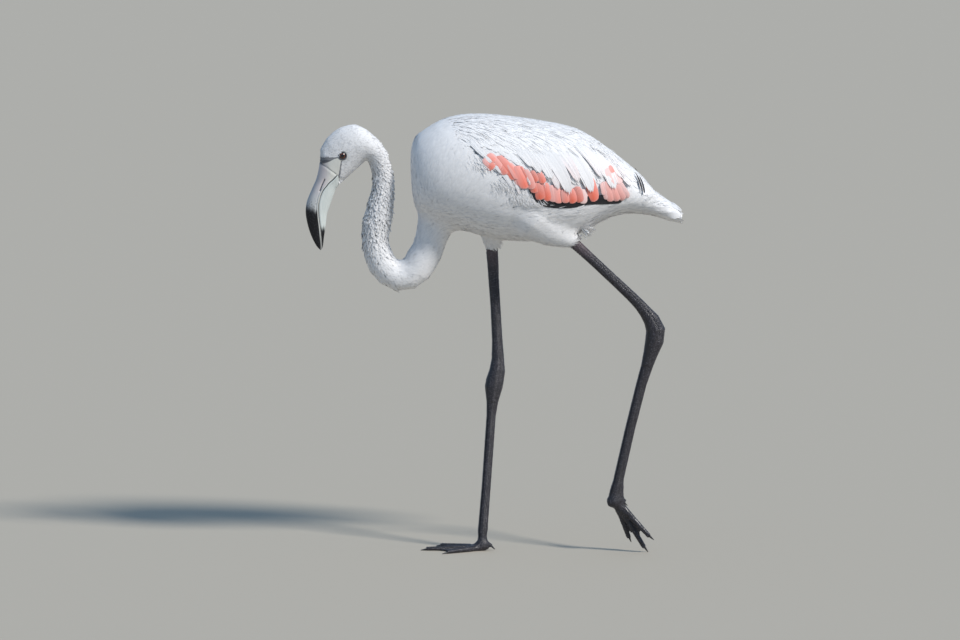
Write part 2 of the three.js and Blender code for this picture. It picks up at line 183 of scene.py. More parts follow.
class Look:
    """A material and the nodes that make it up."""

    def __init__(self, name):
        self.material = bpy.data.materials.new(name)
        self.material.use_nodes = True
        self.nodes = self.material.node_tree.nodes
        self.shader = self.nodes["Principled BSDF"]

    def node(self, kind, inputs=(), **settings):
        made = self.nodes.new("ShaderNode" + kind)
        for name, value in settings.items():
            setattr(made, name, value)
        for name, value in dict(inputs).items():
            if isinstance(value, bpy.types.NodeSocket):
                self.join(value, made.inputs[name])
            else:
                made.inputs[name].default_value = value
        return made

    def join(self, source, target):
        self.material.node_tree.links.new(source, target)

    def math(self, operation, a, b=0.0, c=0.0):
        return self.node("Math", {0: a, 1: b, 2: c}, operation=operation).outputs[0]

    def tint(self):
        return self.node("Attribute", attribute_name="tint").outputs["Color"]

    def place(self):
        return self.node("TexCoord").outputs["Object"]

    def noise(self, scale, detail=3.0, place=None):
        place = self.place() if place is None else place
        return self.node("TexNoise", {"Vector": place, "Scale": scale, "Detail": detail}).outputs["Fac"]

    def colour(self, source):
        self.join(source, self.shader.inputs["Base Color"])

    def toned_tint(self, share):
        """Colours the piece with its own tint, made lighter or darker by a share round 1."""
        self.colour(self.node("HueSaturation", {"Color": self.tint(), "Value": share}).outputs["Color"])

    def bump(self, height, strength, distance):
        inputs = {"Height": height, "Strength": strength, "Distance": distance}
        self.join(self.node("Bump", inputs).outputs["Normal"], self.shader.inputs["Normal"])

    def finish(self, values):
        """Sets what is the same all over, and gives the finished material."""
        for socket, value in values.items():
            self.shader.inputs[socket].default_value = value
        return self.material


# ---------------------------------------------------------------- materials


def plumage_look(name, roughness, barbs):
    """Feather web: fine slanting barbs on both sides of a shaft, over the feather's own tint."""
    look = Look(name)
    vane = look.node("UVMap", uv_map="vane").outputs["UV"]
    split = look.node("SeparateXYZ", {"Vector": vane})
    across = look.math("ABSOLUTE", look.math("SUBTRACT", split.outputs["X"], 0.5))
    slanted = look.math("SUBTRACT", split.outputs["Y"], look.math("MULTIPLY", across, 0.5))
    line = look.math("SINE", look.math("MULTIPLY", slanted, barbs * 2 * math.pi))
    edges = {"From Min": 0.02, "From Max": 0.06, "To Min": 1.0, "To Max": 0.0}
    shaft = look.node("MapRange", {"Value": across, **edges}).outputs["Result"]
    share = look.math("MULTIPLY_ADD", line, 0.022, 0.97)
    look.toned_tint(look.math("MULTIPLY_ADD", look.noise(260.0), 0.06, share))
    look.bump(look.math("ADD", look.math("MULTIPLY", line, 0.35), shaft), 0.5, 0.15 * MM)
    return look.finish({
        "Roughness": roughness, "Specular IOR Level": 0.3, "Sheen Weight": 0.12, "Sheen Roughness": 0.4,
    })


def skin_look():
    """Feathered skin under the coat, and the bare skin of the face."""
    look = Look("bird skin")
    fine = look.noise(900.0, 4.0)
    look.toned_tint(look.math("MULTIPLY_ADD", fine, 0.24, 0.88))
    look.bump(fine, 0.25, 0.2 * MM)
    return look.finish({"Roughness": 0.5})


def horn_look():
    """Bill horn: smooth, faintly streaked along its length."""
    look = Look("bill horn")
    stretched = look.node("Mapping", {"Vector": look.place(), "Scale": (1.0, 1.0, 0.16)}).outputs["Vector"]
    streaks = look.noise(520.0, 4.0, stretched)
    look.toned_tint(look.math("MULTIPLY_ADD", streaks, 0.22, 0.89))
    look.bump(streaks, 0.25, 0.25 * MM)
    return look.finish({
        "Roughness": 0.36, "Specular IOR Level": 0.2, "Coat Weight": 0.06, "Coat Roughness": 0.25,
    })


def leg_look(name, roughness):
    """Dark scaled leather of the legs."""
    look = Look(name)
    look.toned_tint(look.math("MULTIPLY_ADD", look.noise(120.0, 4.0), 0.9, 0.55))
    look.bump(look.noise(1500.0), 0.35, 0.3 * MM)
    return look.finish({
        "Roughness": roughness, "Specular IOR Level": 0.22, "Coat Weight": 0.4, "Coat Roughness": 0.2,
    })


def claw_look():
    """Near-black horn with paler grain."""
    look = Look("claw horn")
    grain = look.noise(700.0)
    dark, pale = 6, 7  # the node's two colour sockets, which share their names with others
    tones = {"Factor": grain, dark: (0.012, 0.011, 0.012, 1), pale: (0.06, 0.055, 0.055, 1)}
    look.colour(look.node("Mix", tones, data_type="RGBA").outputs[2])
    look.bump(grain, 0.3, 0.2 * MM)
    return look.finish({"Roughness": 0.35})


# ---------------------------------------------------------------- meshes

WELD = 1e-3 * MM  # vertices nearer than this are one and the same
END_DEPTH = 4 * MM  # how deep the end of a skin is


def add_piece(mesh, material, replaced=()):
    mesh.materials.append(material)
    piece = bpy.data.objects.new(mesh.name, mesh)
    bpy.context.scene.collection.objects.link(piece)
    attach(piece, BODY)
    if replaced:
        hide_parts(*replaced)


def merged(nodes):
    """Copies of CAD nodes in one bmesh, with their loose triangles joined up."""
    bm = bmesh.new()
    for node in nodes:
        bm.from_mesh(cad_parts[node].data)
    bmesh.ops.remove_doubles(bm, verts=bm.verts, dist=WELD)
    return bm


def finished(bm, name):
    """The smooth mesh that a bmesh makes."""
    mesh = bpy.data.meshes.new(name)
    bm.to_mesh(mesh)
    bm.free()
    mesh.shade_smooth()
    return mesh


def paint(mesh, colours):
    layer = mesh.attributes.new("tint", "FLOAT_COLOR", "POINT")
    rgba = np.ones((len(mesh.vertices), 4), np.float32)
    rgba[:, :3] = colours
    layer.data.foreach_set("color", rgba.ravel())


def mesh_from_arrays(name, points, triangles):
    mesh = bpy.data.meshes.new(name)
    mesh.vertices.add(len(points))
    mesh.vertices.foreach_set("co", points.astype(np.float32).ravel())
    mesh.loops.add(3 * len(triangles))
    mesh.loops.foreach_set("vertex_index", triangles.astype(np.int32).ravel())
    mesh.polygons.add(len(triangles))
    mesh.polygons.foreach_set("loop_start", np.arange(0, 3 * len(triangles), 3, dtype=np.int32))
    mesh.update(calc_edges=True)
    mesh.shade_smooth()
    return mesh


def read(rows, name, width, kind=np.float32):
    """A property of a mesh's vertices, edges, triangles or corners, as an array with a row for each."""
    values = np.zeros(width * len(rows), kind)
    rows.foreach_get(name, values)
    return values.reshape(-1, width)


def points_of(mesh):
    return read(mesh.vertices, "co", 3).astype(float)


def normals_of(mesh):
    return read(mesh.vertex_normals, "vector", 3).astype(float)


def edges_of(mesh):
    return read(mesh.edges, "vertices", 2, np.int32)


def move_points(mesh, points):
    mesh.vertices.foreach_set("co", points.astype(np.float32).ravel())
    mesh.update()


def relaxed(values, edges, rounds, share=0.5):
    """Values at vertices, each drawn towards the mean of its neighbours, so many times over."""
    values = np.array(values, float)
    flat = values.reshape(len(values), -1)
    a, b = edges[:, 0], edges[:, 1]
    count = np.bincount(a, minlength=len(flat)) + np.bincount(b, minlength=len(flat))
    count = np.maximum(count, 1)
    for turn in range(rounds):
        pull = share[turn % len(share)] if isinstance(share, tuple) else share
        for k in range(flat.shape[1]):
            column = flat[:, k]
            total = np.bincount(a, column[b], len(flat)) + np.bincount(b, column[a], len(flat))
            flat[:, k] = column + pull * (total / count - column)
    return flat.reshape(values.shape)


FIRM = (0.62, -0.64)  # relaxing and pushing back in turn smooths without shrinking


def relax(mesh, rounds, share=0.5):
    move_points(mesh, relaxed(points_of(mesh), edges_of(mesh), rounds, share))


def fused(name, nodes, voxel, rounds):
    """Copies of several CAD nodes, fused into one even, smooth skin."""
    rough = finished(merged(nodes), name)
    holder = bpy.data.objects.new(name, rough)
    bpy.context.scene.collection.objects.link(holder)
    remesh = holder.modifiers.new("fuse", "REMESH")
    remesh.mode = "VOXEL"
    remesh.voxel_size = voxel
    graph = bpy.context.evaluated_depsgraph_get()
    mesh = bpy.data.meshes.new_from_object(holder.evaluated_get(graph))
    bpy.data.objects.remove(holder)
    bpy.data.meshes.remove(rough)
    mesh.name = name
    keep_largest(mesh)
    relax(mesh, rounds, FIRM)
    mesh.shade_smooth()
    return mesh


def fill_creases(mesh, rounds, where):
    """Relaxes a mesh where told, but moves its points outwards only, so that hollows fill up."""
    edges = edges_of(mesh)
    for _ in range(rounds):
        points = points_of(mesh)
        step = relaxed(points, edges, 5) - points
        outward = dot(step, normals_of(mesh)) > 0
        move_points(mesh, points + step * (outward * where)[:, None])


def keep_largest(mesh):
    """Drops any closed pocket inside the skin."""
    bm = bmesh.new()
    bm.from_mesh(mesh)
    seen, islands = set(), []
    for start in bm.verts:
        if start in seen:
            continue
        island, front = [], [start]
        seen.add(start)
        while front:
            vert = front.pop()
            island.append(vert)
            for edge in vert.link_edges:
                other = edge.other_vert(vert)
                if other not in seen:
                    seen.add(other)
                    front.append(other)
        islands.append(island)
    islands.sort(key=len)
    for island in islands[:-1]:
        bmesh.ops.delete(bm, geom=island, context="VERTS")
    bm.to_mesh(mesh)
    bm.free()


def travel(points, edges, starts):
    """How far each vertex is from the start, measured over the skin."""
    neighbours = [[] for _ in points]
    lengths = np.linalg.norm(points[edges[:, 0]] - points[edges[:, 1]], axis=1)
    for (a, b), length in zip(edges.tolist(), lengths.tolist()):
        neighbours[a].append((b, length))
        neighbours[b].append((a, length))
    far = [math.inf] * len(points)
    queue = []
    for start in starts:
        far[start] = 0.0
        queue.append((0.0, int(start)))
    heapq.heapify(queue)
    while queue:
        reached, vert = heapq.heappop(queue)
        if reached > far[vert]:
            continue
        for other, length in neighbours[vert]:
            if reached + length < far[other]:
                far[other] = reached + length
                heapq.heappush(queue, (far[other], other))
    return np.array(far)


def crossed_edges(mesh, edges):
    """The mesh's edges, and the diagonals of its faces."""
    corners = [tuple(face.vertices) for face in mesh.polygons]
    quads = np.array([c for c in corners if len(c) == 4])
    return np.concatenate([edges, quads[:, (0, 2)], quads[:, (1, 3)]])


def end_of(points, direction):
    """The vertices at one end of a skin, where a direction begins."""
    reach = points @ np.array(direction, float)
    return np.nonzero(reach < reach.min() + END_DEPTH)[0]


def uphill(points, edges, height, normals):
    """The direction over the skin in which a height at its vertices grows."""
    a, b = edges[:, 0], edges[:, 1]
    step = points[b] - points[a]
    slope = step * ((height[b] - height[a]) / dot(step, step))[:, None]
    way = np.stack([
        np.bincount(a, slope[:, k], len(points)) + np.bincount(b, slope[:, k], len(points))
        for k in range(3)
    ], 1)
    return unit(way - normals * dot(way, normals)[:, None])


TRIES = 4  # places tried for each that is wanted
ELBOW_ROOM = 0.86  # how near two places may be, as a share of their spacing


class Ground:
    """A skin that tufts or scales grow on, with what they need to know at each of its points.

    Along is how far a point is from the skin's first end, way is the direction away from that end,
    and depth is how thick the coat is there.
    """

    def __init__(self, mesh, first_end, depth):
        self.depth = depth
        self.points = points_of(mesh)
        edges = edges_of(mesh)
        self.normals = unit(relaxed(normals_of(mesh), edges, 3))
        wide = crossed_edges(mesh, edges)
        starts = end_of(self.points, first_end)
        self.along = relaxed(travel(self.points, wide, starts), edges, 24)
        way = uphill(self.points, wide, self.along, self.normals)
        self.way = unit(relaxed(way, edges, 14))
        mesh.calc_loop_triangles()
        self.triangles = read(mesh.loop_triangles, "vertices", 3, np.int32)
        self.loops = read(mesh.loop_triangles, "loops", 3, np.int32)
        self.settle(self.points)
        self.bake_spots = unwrapped(mesh)

    def settle(self, points):
        """Takes the skin's points as they now are."""
        self.points = points
        self.tree = BVHTree.FromPolygons(points.tolist(), self.triangles.tolist())

    def nearest(self, places):
        """The nearest point of the skin to each place, and the triangle it is on."""
        found = [self.tree.find_nearest(place) for place in places.tolist()]
        spots = np.array([spot[0][:] for spot in found])
        return spots, np.array([spot[2] for spot in found])

    def at(self, values, triangles=slice(None)):
        """What values at the vertices come to on triangles, or else on every triangle."""
        return values[self.triangles[triangles]].mean(1)

    def centres(self):
        return self.at(self.points)

    def weights(self, places, triangles):
        """How near each place is to its triangle's three corners, as shares of one."""
        a, b, c = (self.points[self.triangles[triangles, k]] for k in range(3))
        areas = np.stack([
            np.linalg.norm(np.cross(q - places, r - places), axis=1)
            for q, r in ((b, c), (c, a), (a, b))
        ], 1)
        return areas / np.maximum(areas.sum(1, keepdims=True), 1e-15)

    def bake_place(self, places, triangles):
        """Where places on triangles lie on the skin's own map."""
        shares = self.weights(places, triangles)
        return (self.bake_spots[self.loops[triangles]] * shares[..., None]).sum(1)

    def scatter(self, spacing, seed):
        """Evenly loose places over the skin. Spacing is a distance at each triangle, 0 for none."""
        dice = np.random.default_rng(seed)
        a, b, c = (self.points[self.triangles[:, k]] for k in range(3))
        area = np.linalg.norm(np.cross(b - a, c - a), axis=1) / 2
        wanted = np.where(spacing > 0, area / np.maximum(spacing, 1e-6) ** 2, 0)
        count = int(wanted.sum() * TRIES)
        chosen = dice.choice(len(area), count, p=wanted / wanted.sum())
        u, v = dice.random(count), dice.random(count)
        over = u + v > 1
        u[over], v[over] = 1 - u[over], 1 - v[over]
        places = a[chosen] + u[:, None] * (b - a)[chosen] + v[:, None] * (c - a)[chosen]
        tree = KDTree(count)
        listed = places.tolist()
        for number, place in enumerate(listed):
            tree.insert(place, number)
        tree.balance()
        free, kept = [True] * count, []
        reach = (spacing[chosen] * ELBOW_ROOM).tolist()
        for number in range(count):
            if free[number]:
                kept.append(number)
                for _, other, _ in tree.find_range(listed[number], reach[number]):
                    free[other] = False
        return places[kept], chosen[kept]


def unwrapped(mesh):
    """Unwraps the skin by its own shape into the map OFBake, and gives each corner's place in it."""
    mesh.uv_layers.new(name="OFBake")
    holder = bpy.data.objects.new("unwrap", mesh)
    bpy.context.scene.collection.objects.link(holder)
    bpy.context.view_layer.objects.active = holder
    holder.select_set(True)
    bpy.ops.object.mode_set(mode="EDIT")
    bpy.ops.mesh.select_all(action="SELECT")
    bpy.ops.uv.smart_project(angle_limit=math.radians(66), island_margin=0.004)
    bpy.ops.object.mode_set(mode="OBJECT")
    bpy.data.objects.remove(holder)
    return read(mesh.uv_layers["OFBake"].data, "uv", 2)


# ---------------------------------------------------------------- tufts, feathers and scales

BAKE_PATCH = 0.003  # how wide each tuft's patch is on the bake map
MOST_TRIANGLES = 190_000  # in one piece
LEAST_SIDEWAYS = 0.35  # a skin that faces the side less than this counts as facing it this much
RISE = 0.8  # a vane rises with this power of its length, so rather more near its root
SKIN_ENDS = (0.25, 0.6)  # the skin ends for a vane between these shares of its way pointing off the skin
STEADY = 0.3  # how much a vane's outward direction keeps of what it was a ring before


def numbered_circle(bm, segments):
    """Starts a bmesh with a circle, and gives its vertices in turn and the layer that numbers them."""
    corner_of = bm.verts.layers.int.new("corner")
    bmesh.ops.create_circle(bm, cap_ends=False, segments=segments, radius=1)
    ordered = sorted(bm.verts, key=lambda v: math.atan2(v.co.y, v.co.x) % (2 * math.pi))
    for number, vert in enumerate(ordered):
        vert[corner_of] = number
    return ordered, corner_of


def drawn_out(bm, edges):
    """Extrudes a ring of edges, and gives the new ring's vertices and edges."""
    fresh = bmesh.ops.extrude_edge_only(bm, edges=edges)["geom"]
    verts = [g for g in fresh if isinstance(g, bmesh.types.BMVert)]
    own = set(verts)
    return verts, [g for g in fresh if isinstance(g, bmesh.types.BMEdge) and set(g.verts) <= own]


def vane_template(rings, corners):
    """One closed vane drawn out of a circle: the ring and corner of each vertex, and its triangles."""
    bm = bmesh.new()
    ring_of = bm.verts.layers.int.new("ring")
    _, corner_of = numbered_circle(bm, corners)
    first = list(bm.verts)
    edges = list(bm.edges)
    for ring in range(1, rings):
        last, edges = drawn_out(bm, edges)
        for vert in last:
            vert[ring_of] = ring
            vert.co.z = ring
    bmesh.ops.pointmerge(bm, verts=first, merge_co=(0, 0, 0))
    bmesh.ops.pointmerge(bm, verts=last, merge_co=(0, 0, rings - 1))
    bmesh.ops.recalc_face_normals(bm, faces=bm.faces)
    bmesh.ops.triangulate(bm, faces=bm.faces)
    bm.verts.index_update()
    spots = [(v[ring_of], v[corner_of]) for v in bm.verts]
    triangles = np.array([[v.index for v in face.verts] for face in bm.faces])
    bm.free()
    ring, corner = np.array(spots).T
    return ring, corner, triangles


class Vane:
    """A kind of vane: its shares are the places of its rings from root to tip, and its widths go with them.

    Thin is how thick its lower side is beside its upper one, and cup is how far its edges sag.
    """

    def __init__(self, shares, widths, corners=4, thin=0.5, cup=0.1):
        self.shares = np.array(shares, float)
        self.widths = np.array(widths, float)
        self.ring, self.corner, self.triangles = vane_template(len(shares), corners)
        angle = 2 * math.pi * self.corner / corners
        self.across = np.cos(angle)
        self.high = np.sin(angle)
        ends = (self.ring == 0) | (self.ring == len(shares) - 1)
        self.across[ends] = self.high[ends] = 0
        self.high = np.where(self.high < 0, self.high * thin, self.high)
        self.cup = cup
        self.rim = ends | (self.corner == 0) | (self.corner == corners // 2)


TUFT = Vane((0, 0.25, 0.7, 1), (0, 0.8, 0.95, 0), cup=0.04)
SOFT = Vane((0, 0.22, 0.6, 0.88, 1), (0, 0.75, 1, 0.62, 0), cup=0.03)
LANCE = Vane(
    (0, 0.1, 0.28, 0.5, 0.7, 0.86, 0.96, 1), (0, 0.5, 0.92, 1, 0.86, 0.58, 0.26, 0), corners=8, cup=0.06,
)
ROUND = Vane((0, 0.08, 0.3, 0.6, 0.8, 0.92, 0.98, 1), (0, 0.7, 0.92, 1, 0.99, 0.8, 0.46, 0), corners=8)
QUILL = Vane(
    (0, 0.08, 0.25, 0.5, 0.75, 0.9, 0.97, 1), (0, 0.5, 0.9, 1, 1, 0.8, 0.45, 0), corners=8, cup=0.05,
)
STRAND = Vane((0, 0.1, 0.3, 0.55, 0.78, 0.93, 1), (0, 0.7, 1, 1, 0.8, 0.45, 0), cup=0.06)
WISP = Vane((0, 0.3, 0.7, 1), (0, 1, 0.6, 0))
SCUTE = Vane((0, 0.15, 0.5, 0.9, 1), (0, 0.9, 1, 0.95, 0), corners=8, thin=0.2, cup=0.17)
PLATE = Vane((0, 0.2, 0.8, 1), (0, 0.9, 0.9, 0), corners=6, thin=0.2, cup=0)


class Crop:
    """Vanes of one kind that are to be laid over a ground, as arrays with a row for each.

    low, high    heights of the root and the tip over the skin, as shares of the coat's depth
    extra        height added along the whole length
    cling        how far it follows a skin that falls away from it
    lie          the directions that it turns to on its way, at given places
    turn         how far it turns to its lie at each ring
    from_side    whether it keeps its lie's slope in the side view
    roll         its turn about its own length
    soft         how far its shading follows the skin below instead of its own form
    tip_from     where on its length the root's tint begins to turn into the tip's
    edge_share   how much of the edge's tint its edges take
    """

    def __init__(self, roots, way, length, width, root_tint, tip_tint, thick, low, high,
                 extra=0, cling=1, lie=None, turn=1, from_side=False, roll=0, soft=0,
                 tip_from=0.1, edge_tint=None, edge_share=0):
        self.roots, self.way = roots, way
        self.lie, self.from_side = lie, from_side
        self.tip_from, self.edge_share = tip_from, edge_share
        count = len(roots)
        self.length, self.width, self.thick, self.low, self.high, self.extra, self.cling = (
            np.broadcast_to(value, count) for value in (length, width, thick, low, high, extra, cling)
        )
        self.turn, self.roll, self.soft = (np.broadcast_to(value, count) for value in (turn, roll, soft))
        edge_tint = tip_tint if edge_tint is None else edge_tint
        self.root_tint, self.tip_tint, self.edge_tint = (
            np.broadcast_to(value, (count, 3)) for value in (root_tint, tip_tint, edge_tint)
        )


def along_skin(lie, out, from_side):
    """Directions laid down on the skin, which may keep their slope as seen from the side."""
    if from_side:
        least = LEAST_SIDEWAYS * np.sign(out[:, 1])
        facing = np.where(np.abs(out[:, 1]) < LEAST_SIDEWAYS, least, out[:, 1])
        sideways = -(lie[:, 0] * out[:, 0] + lie[:, 2] * out[:, 2]) / facing
        lie = np.stack([lie[:, 0], sideways, lie[:, 2]], 1)
    return unit(lie - out * dot(lie, out)[:, None])


def laid(ground, crop, shares):
    """Middle lines of vanes that run over the ground, with the outward direction at each ring."""
    spots, where = ground.nearest(crop.roots)
    out = unit(ground.at(ground.normals, where))
    deep = ground.at(ground.depth, where)
    place = spots + out * (deep * crop.low + crop.extra)[:, None]
    way = along_skin(crop.way, out, crop.from_side)
    line, outward = [place], [out]
    for before, share in zip(shares, shares[1:]):
        ahead = place + way * (crop.length * (share - before))[:, None]
        spots, where = ground.nearest(ahead)
        out = unit(ground.at(ground.normals, where))
        deep = ground.at(ground.depth, where)
        rise = crop.low + (crop.high - crop.low) * share ** RISE
        wanted = deep * rise + crop.extra
        height = dot(ahead - spots, out)
        past_end = ramp(dot(out, way), *SKIN_ENDS)
        cling = np.where(height > wanted, crop.cling * (1 - past_end), 1.0)
        fresh = ahead + out * ((wanted - height) * cling)[:, None]
        way = unit(fresh - place)
        place = fresh
        if crop.lie:
            way = unit(mixed(way, along_skin(crop.lie(place), out, crop.from_side), crop.turn))
        past_end = past_end[:, None]
        outward.append(unit(outward[-1] * STEADY + out * (1 - past_end) + outward[-1] * past_end))
        line.append(place)
    return np.stack(line, 1), np.stack(outward, 1)


def shade_softly(mesh, vane, outward, soft):
    """Draws the shading of each vane's upper side towards the skin's, as in a silky coat."""
    normals = read(mesh.corner_normals, "vector", 3).reshape(len(outward), -1, 3)
    upper = (vane.high[vane.triangles].mean(1) > 0).repeat(3)
    below = outward[:, vane.ring][:, vane.triangles.ravel()]
    normals[:, upper] = unit(mixed(normals[:, upper], below[:, upper], soft[:, None]))
    mesh.normals_split_custom_set(normals.reshape(-1, 3))


def sharpen_rims(mesh, vane):
    """Shades the upper and the lower side of each vane apart, with a crisp rim between them."""
    a, b = (edges_of(mesh) % len(vane.ring)).T
    end = vane.widths[vane.ring] == 0
    same = (vane.corner[a] == vane.corner[b]) | end[a] | end[b]
    sharp = vane.rim[a] & vane.rim[b] & same
    layer = mesh.attributes.get("sharp_edge") or mesh.attributes.new("sharp_edge", "BOOLEAN", "EDGE")
    layer.data.foreach_set("value", sharp)


def tinted(crop, vane):
    """The colour of every vertex of a crop: the root's tint to the tip's, and the edge's at the sides."""
    count = len(crop.roots)
    share = ramp(vane.shares[vane.ring], crop.tip_from, 1.0)
    tint = mixed(crop.root_tint[:, None], crop.tip_tint[:, None], share[None].repeat(count, 0))
    if crop.edge_share:
        at_tip = ramp(vane.shares[vane.ring], 0.9, 1.0)
        rim = np.abs(vane.across) ** 2 * crop.edge_share + at_tip * crop.edge_share
        tint = mixed(tint, crop.edge_tint[:, None], np.clip(rim, 0, 1)[None].repeat(count, 0))
    return tint


def grow(name, ground, crop, vane, material):
    """Makes a crop of vanes into joined pieces of a moderate size."""
    line, outward = laid(ground, crop, vane.shares)
    along = unit(np.gradient(line, axis=1))
    side = unit(np.cross(outward, along))
    up = np.cross(along, side)
    cos, sin = np.cos(crop.roll)[:, None, None], np.sin(crop.roll)[:, None, None]
    side, up = side * cos + up * sin, up * cos - side * sin
    ring = vane.ring
    half = (crop.width / 2)[:, None] * vane.widths[ring] * vane.across
    lift = crop.thick[:, None] * vane.high * np.sqrt(vane.widths[ring])
    sag = (crop.width * vane.cup)[:, None] * vane.widths[ring] * vane.across ** 2
    points = line[:, ring] + side[:, ring] * half[..., None] + up[:, ring] * (lift - sag)[..., None]
    tint = tinted(crop, vane)
    _, where = ground.nearest(crop.roots)
    spots = ground.bake_place(crop.roots, where)
    vane_map = np.stack([0.5 + 0.5 * vane.across, vane.shares[ring]], 1)
    batches = max(1, math.ceil(len(points) / (MOST_TRIANGLES // len(vane.triangles))))
    for number in range(batches):
        own = slice(number * len(points) // batches, (number + 1) * len(points) // batches)
        count = len(points[own])
        steps = np.arange(count)[:, None, None] * len(ring)
        triangles = (vane.triangles[None] + steps).reshape(-1, 3)
        title = name if batches == 1 else f"{name}_{number + 1}"
        mesh = mesh_from_arrays(title, points[own].reshape(-1, 3), triangles)
        sharpen_rims(mesh, vane)
        if crop.soft.any():
            shade_softly(mesh, vane, outward[own], crop.soft[own])
        paint(mesh, tint[own].reshape(-1, 3))
        corners = triangles.ravel()
        flat = np.tile(vane_map, (count, 1))
        patch = spots[own][:, None] + (vane_map[None] - 0.5) * BAKE_PATCH
        for layer_name, spread in (("vane", flat), ("OFBake", patch.reshape(-1, 2))):
            layer = mesh.uv_layers.new(name=layer_name)
            layer.data.foreach_set("uv", spread[corners].astype(np.float32).ravel())
        add_piece(mesh, material)


# ---------------------------------------------------------------- the bird's skin

FLESH = [
    "head", "neck_upper", "neck_middle", "neck_lower", "trunk", "tail",
    "wing_left", "wing_right", "thigh_left", "thigh_right",
]
SKIN_VOXEL = 2.6 * MM
FACE_END = (1, 0, 0)  # the skin's start is its end towards -X, at the bill
EYE_CENTRE = {"x": -246.5, "side": 14.6, "z": 655}
EYE_RADIUS = 8.0
EYE_OPENING = 5.3
NECK_ROOT = (-104, 556)  # where the neck enters the breast
CROWN = (-226, 702)  # the top of the head, where the nape begins
HEAD_BACK = -225 * MM  # the markings of the head lie in front of this
BARE_DEPTH = 0.15 * MM  # room left between the CAD's surface and the bare skin of the face

# Bare face between the bill's base and the eye, in the side view.
LORE = [(-310, 640), (-291, 646), (-268, 648.5), (-257, 652.5), (-249, 647), (-250, 635), (-251, 626),
        (-254.5, 612), (-258, 598), (-310, 590)]
LORE_STRIPE = [(-254, 653.5), (-268, 648.5), (-284, 646), (-292, 646)]
CHEEK_LINE = [(-248.3, 645.5), (-251.3, 626), (-257.8, 602), (-260, 596)]

# How the coat changes from the bill to the tail, by the way over the skin: the way, the feathers'
# spacing, length and width, and how thick the whole coat is.
COAT = [
    (0, 1.5, 4.4, 2.6, 0.8),
    (40, 1.6, 5.4, 3.0, 1.2),
    (90, 1.8, 6.6, 3.1, 1.8),
    (130, 2.0, 8.0, 3.4, 2.4),
    (230, 2.2, 9.0, 3.6, 2.8),
    (300, 2.3, 11, 3.8, 3.0),
    (400, 2.7, 14, 4.4, 3.4),
    (480, 3.2, 20, 5.8, 4.2),
    (600, 3.9, 28, 8.0, 5.0),
    (1000, 4.3, 32, 9.5, 5.0),
]

WHITE = np.array((0.86, 0.845, 0.84))
SHADED_WHITE = np.array((0.76, 0.755, 0.76))
# Grey of the mottled feathers, also used as painted shade: it darkens the skin and the feather roots
# between the ruffled neck tufts.
GREY_MOTTLE_AND_SHADE = np.array((0.50, 0.49, 0.49))
HORN_PINK = np.array((0.60, 0.545, 0.545))
BARE_CREAM = np.array((0.69, 0.68, 0.625))
STRIPE_GREY = np.array((0.055, 0.06, 0.075))
CORAL = np.array((0.86, 0.155, 0.085))
FLUSH = np.array((0.88, 0.74, 0.72))
BLACK = np.array((0.012, 0.012, 0.014))
LEG_DARK = np.array((0.026, 0.024, 0.028))
LEG_LIT = np.array((0.105, 0.096, 0.112))
LEG_PINK = np.array((0.12, 0.085, 0.095))


def smooth_body(mesh):
    """Rounds off the trunk, and blends the neck and thighs into it."""
    points = points_of(mesh)
    x, z = points[:, 0] / MM, points[:, 2] / MM
    trunk = ramp(x, -150, -118) * ramp(z, 545, 600) * (1 - ramp(x, 215, 250))
    relax(mesh, 45, 0.5 * relaxed(trunk, edges_of(mesh), 8))
    root = np.hypot(x - NECK_ROOT[0], z - NECK_ROOT[1])
    hips = (1 - ramp(z, 530, 560)) * ramp(z, 500, 520) * ramp(x, -60, -40) * (1 - ramp(x, 150, 170))
    fill_creases(mesh, 70, np.maximum(1 - ramp(root, 70, 105), 0.3 * hips))
    crown = 1 - ramp(np.hypot(x - CROWN[0], z - CROWN[1]), 20, 38)
    relax(mesh, 40, 0.5 * crown)


def refine_face(mesh):
    """Makes the skin finer over the bare face and round the eyes."""
    bm = bmesh.new()
    bm.from_mesh(mesh)
    edges = [
        e for e in bm.edges
        if all(v.co.x < -228 * MM and 588 * MM < v.co.z < 672 * MM for v in e.verts)
    ]
    bmesh.ops.subdivide_edges(bm, edges=edges, cuts=2, use_grid_fill=True)
    bmesh.ops.triangulate(bm, faces=[f for f in bm.faces if len(f.verts) > 4])
    bm.to_mesh(mesh)
    bm.free()


def shape_lids(points):
    """Sinks the skin behind each eyeball and raises a lid round it."""
    x = points[:, 0] / MM - EYE_CENTRE["x"]
    z = points[:, 2] / MM - EYE_CENTRE["z"]
    away = np.hypot(x * 0.94, z * 1.06)
    side = np.abs(points[:, 1]) / MM
    surface = EYE_CENTRE["side"] + np.sqrt(np.maximum(EYE_RADIUS ** 2 - away ** 2, 0))
    lid = surface + 0.75 + 0.5 * bulge(away, 7.2, 1)
    sunk = EYE_CENTRE["side"] + 1.5
    near = (away < 11) & (side > 8)
    hole = ramp(away, EYE_OPENING - 0.5, EYE_OPENING + 0.2)
    ring = 1 - ramp(away, 7.4, 10.5)
    shaped = sunk + (side + (np.maximum(lid, side - 0.3) - side) * ring - sunk) * hole
    side = np.where(near, shaped, side)
    moved = points.copy()
    moved[:, 1] = np.sign(points[:, 1]) * side * MM
    return moved


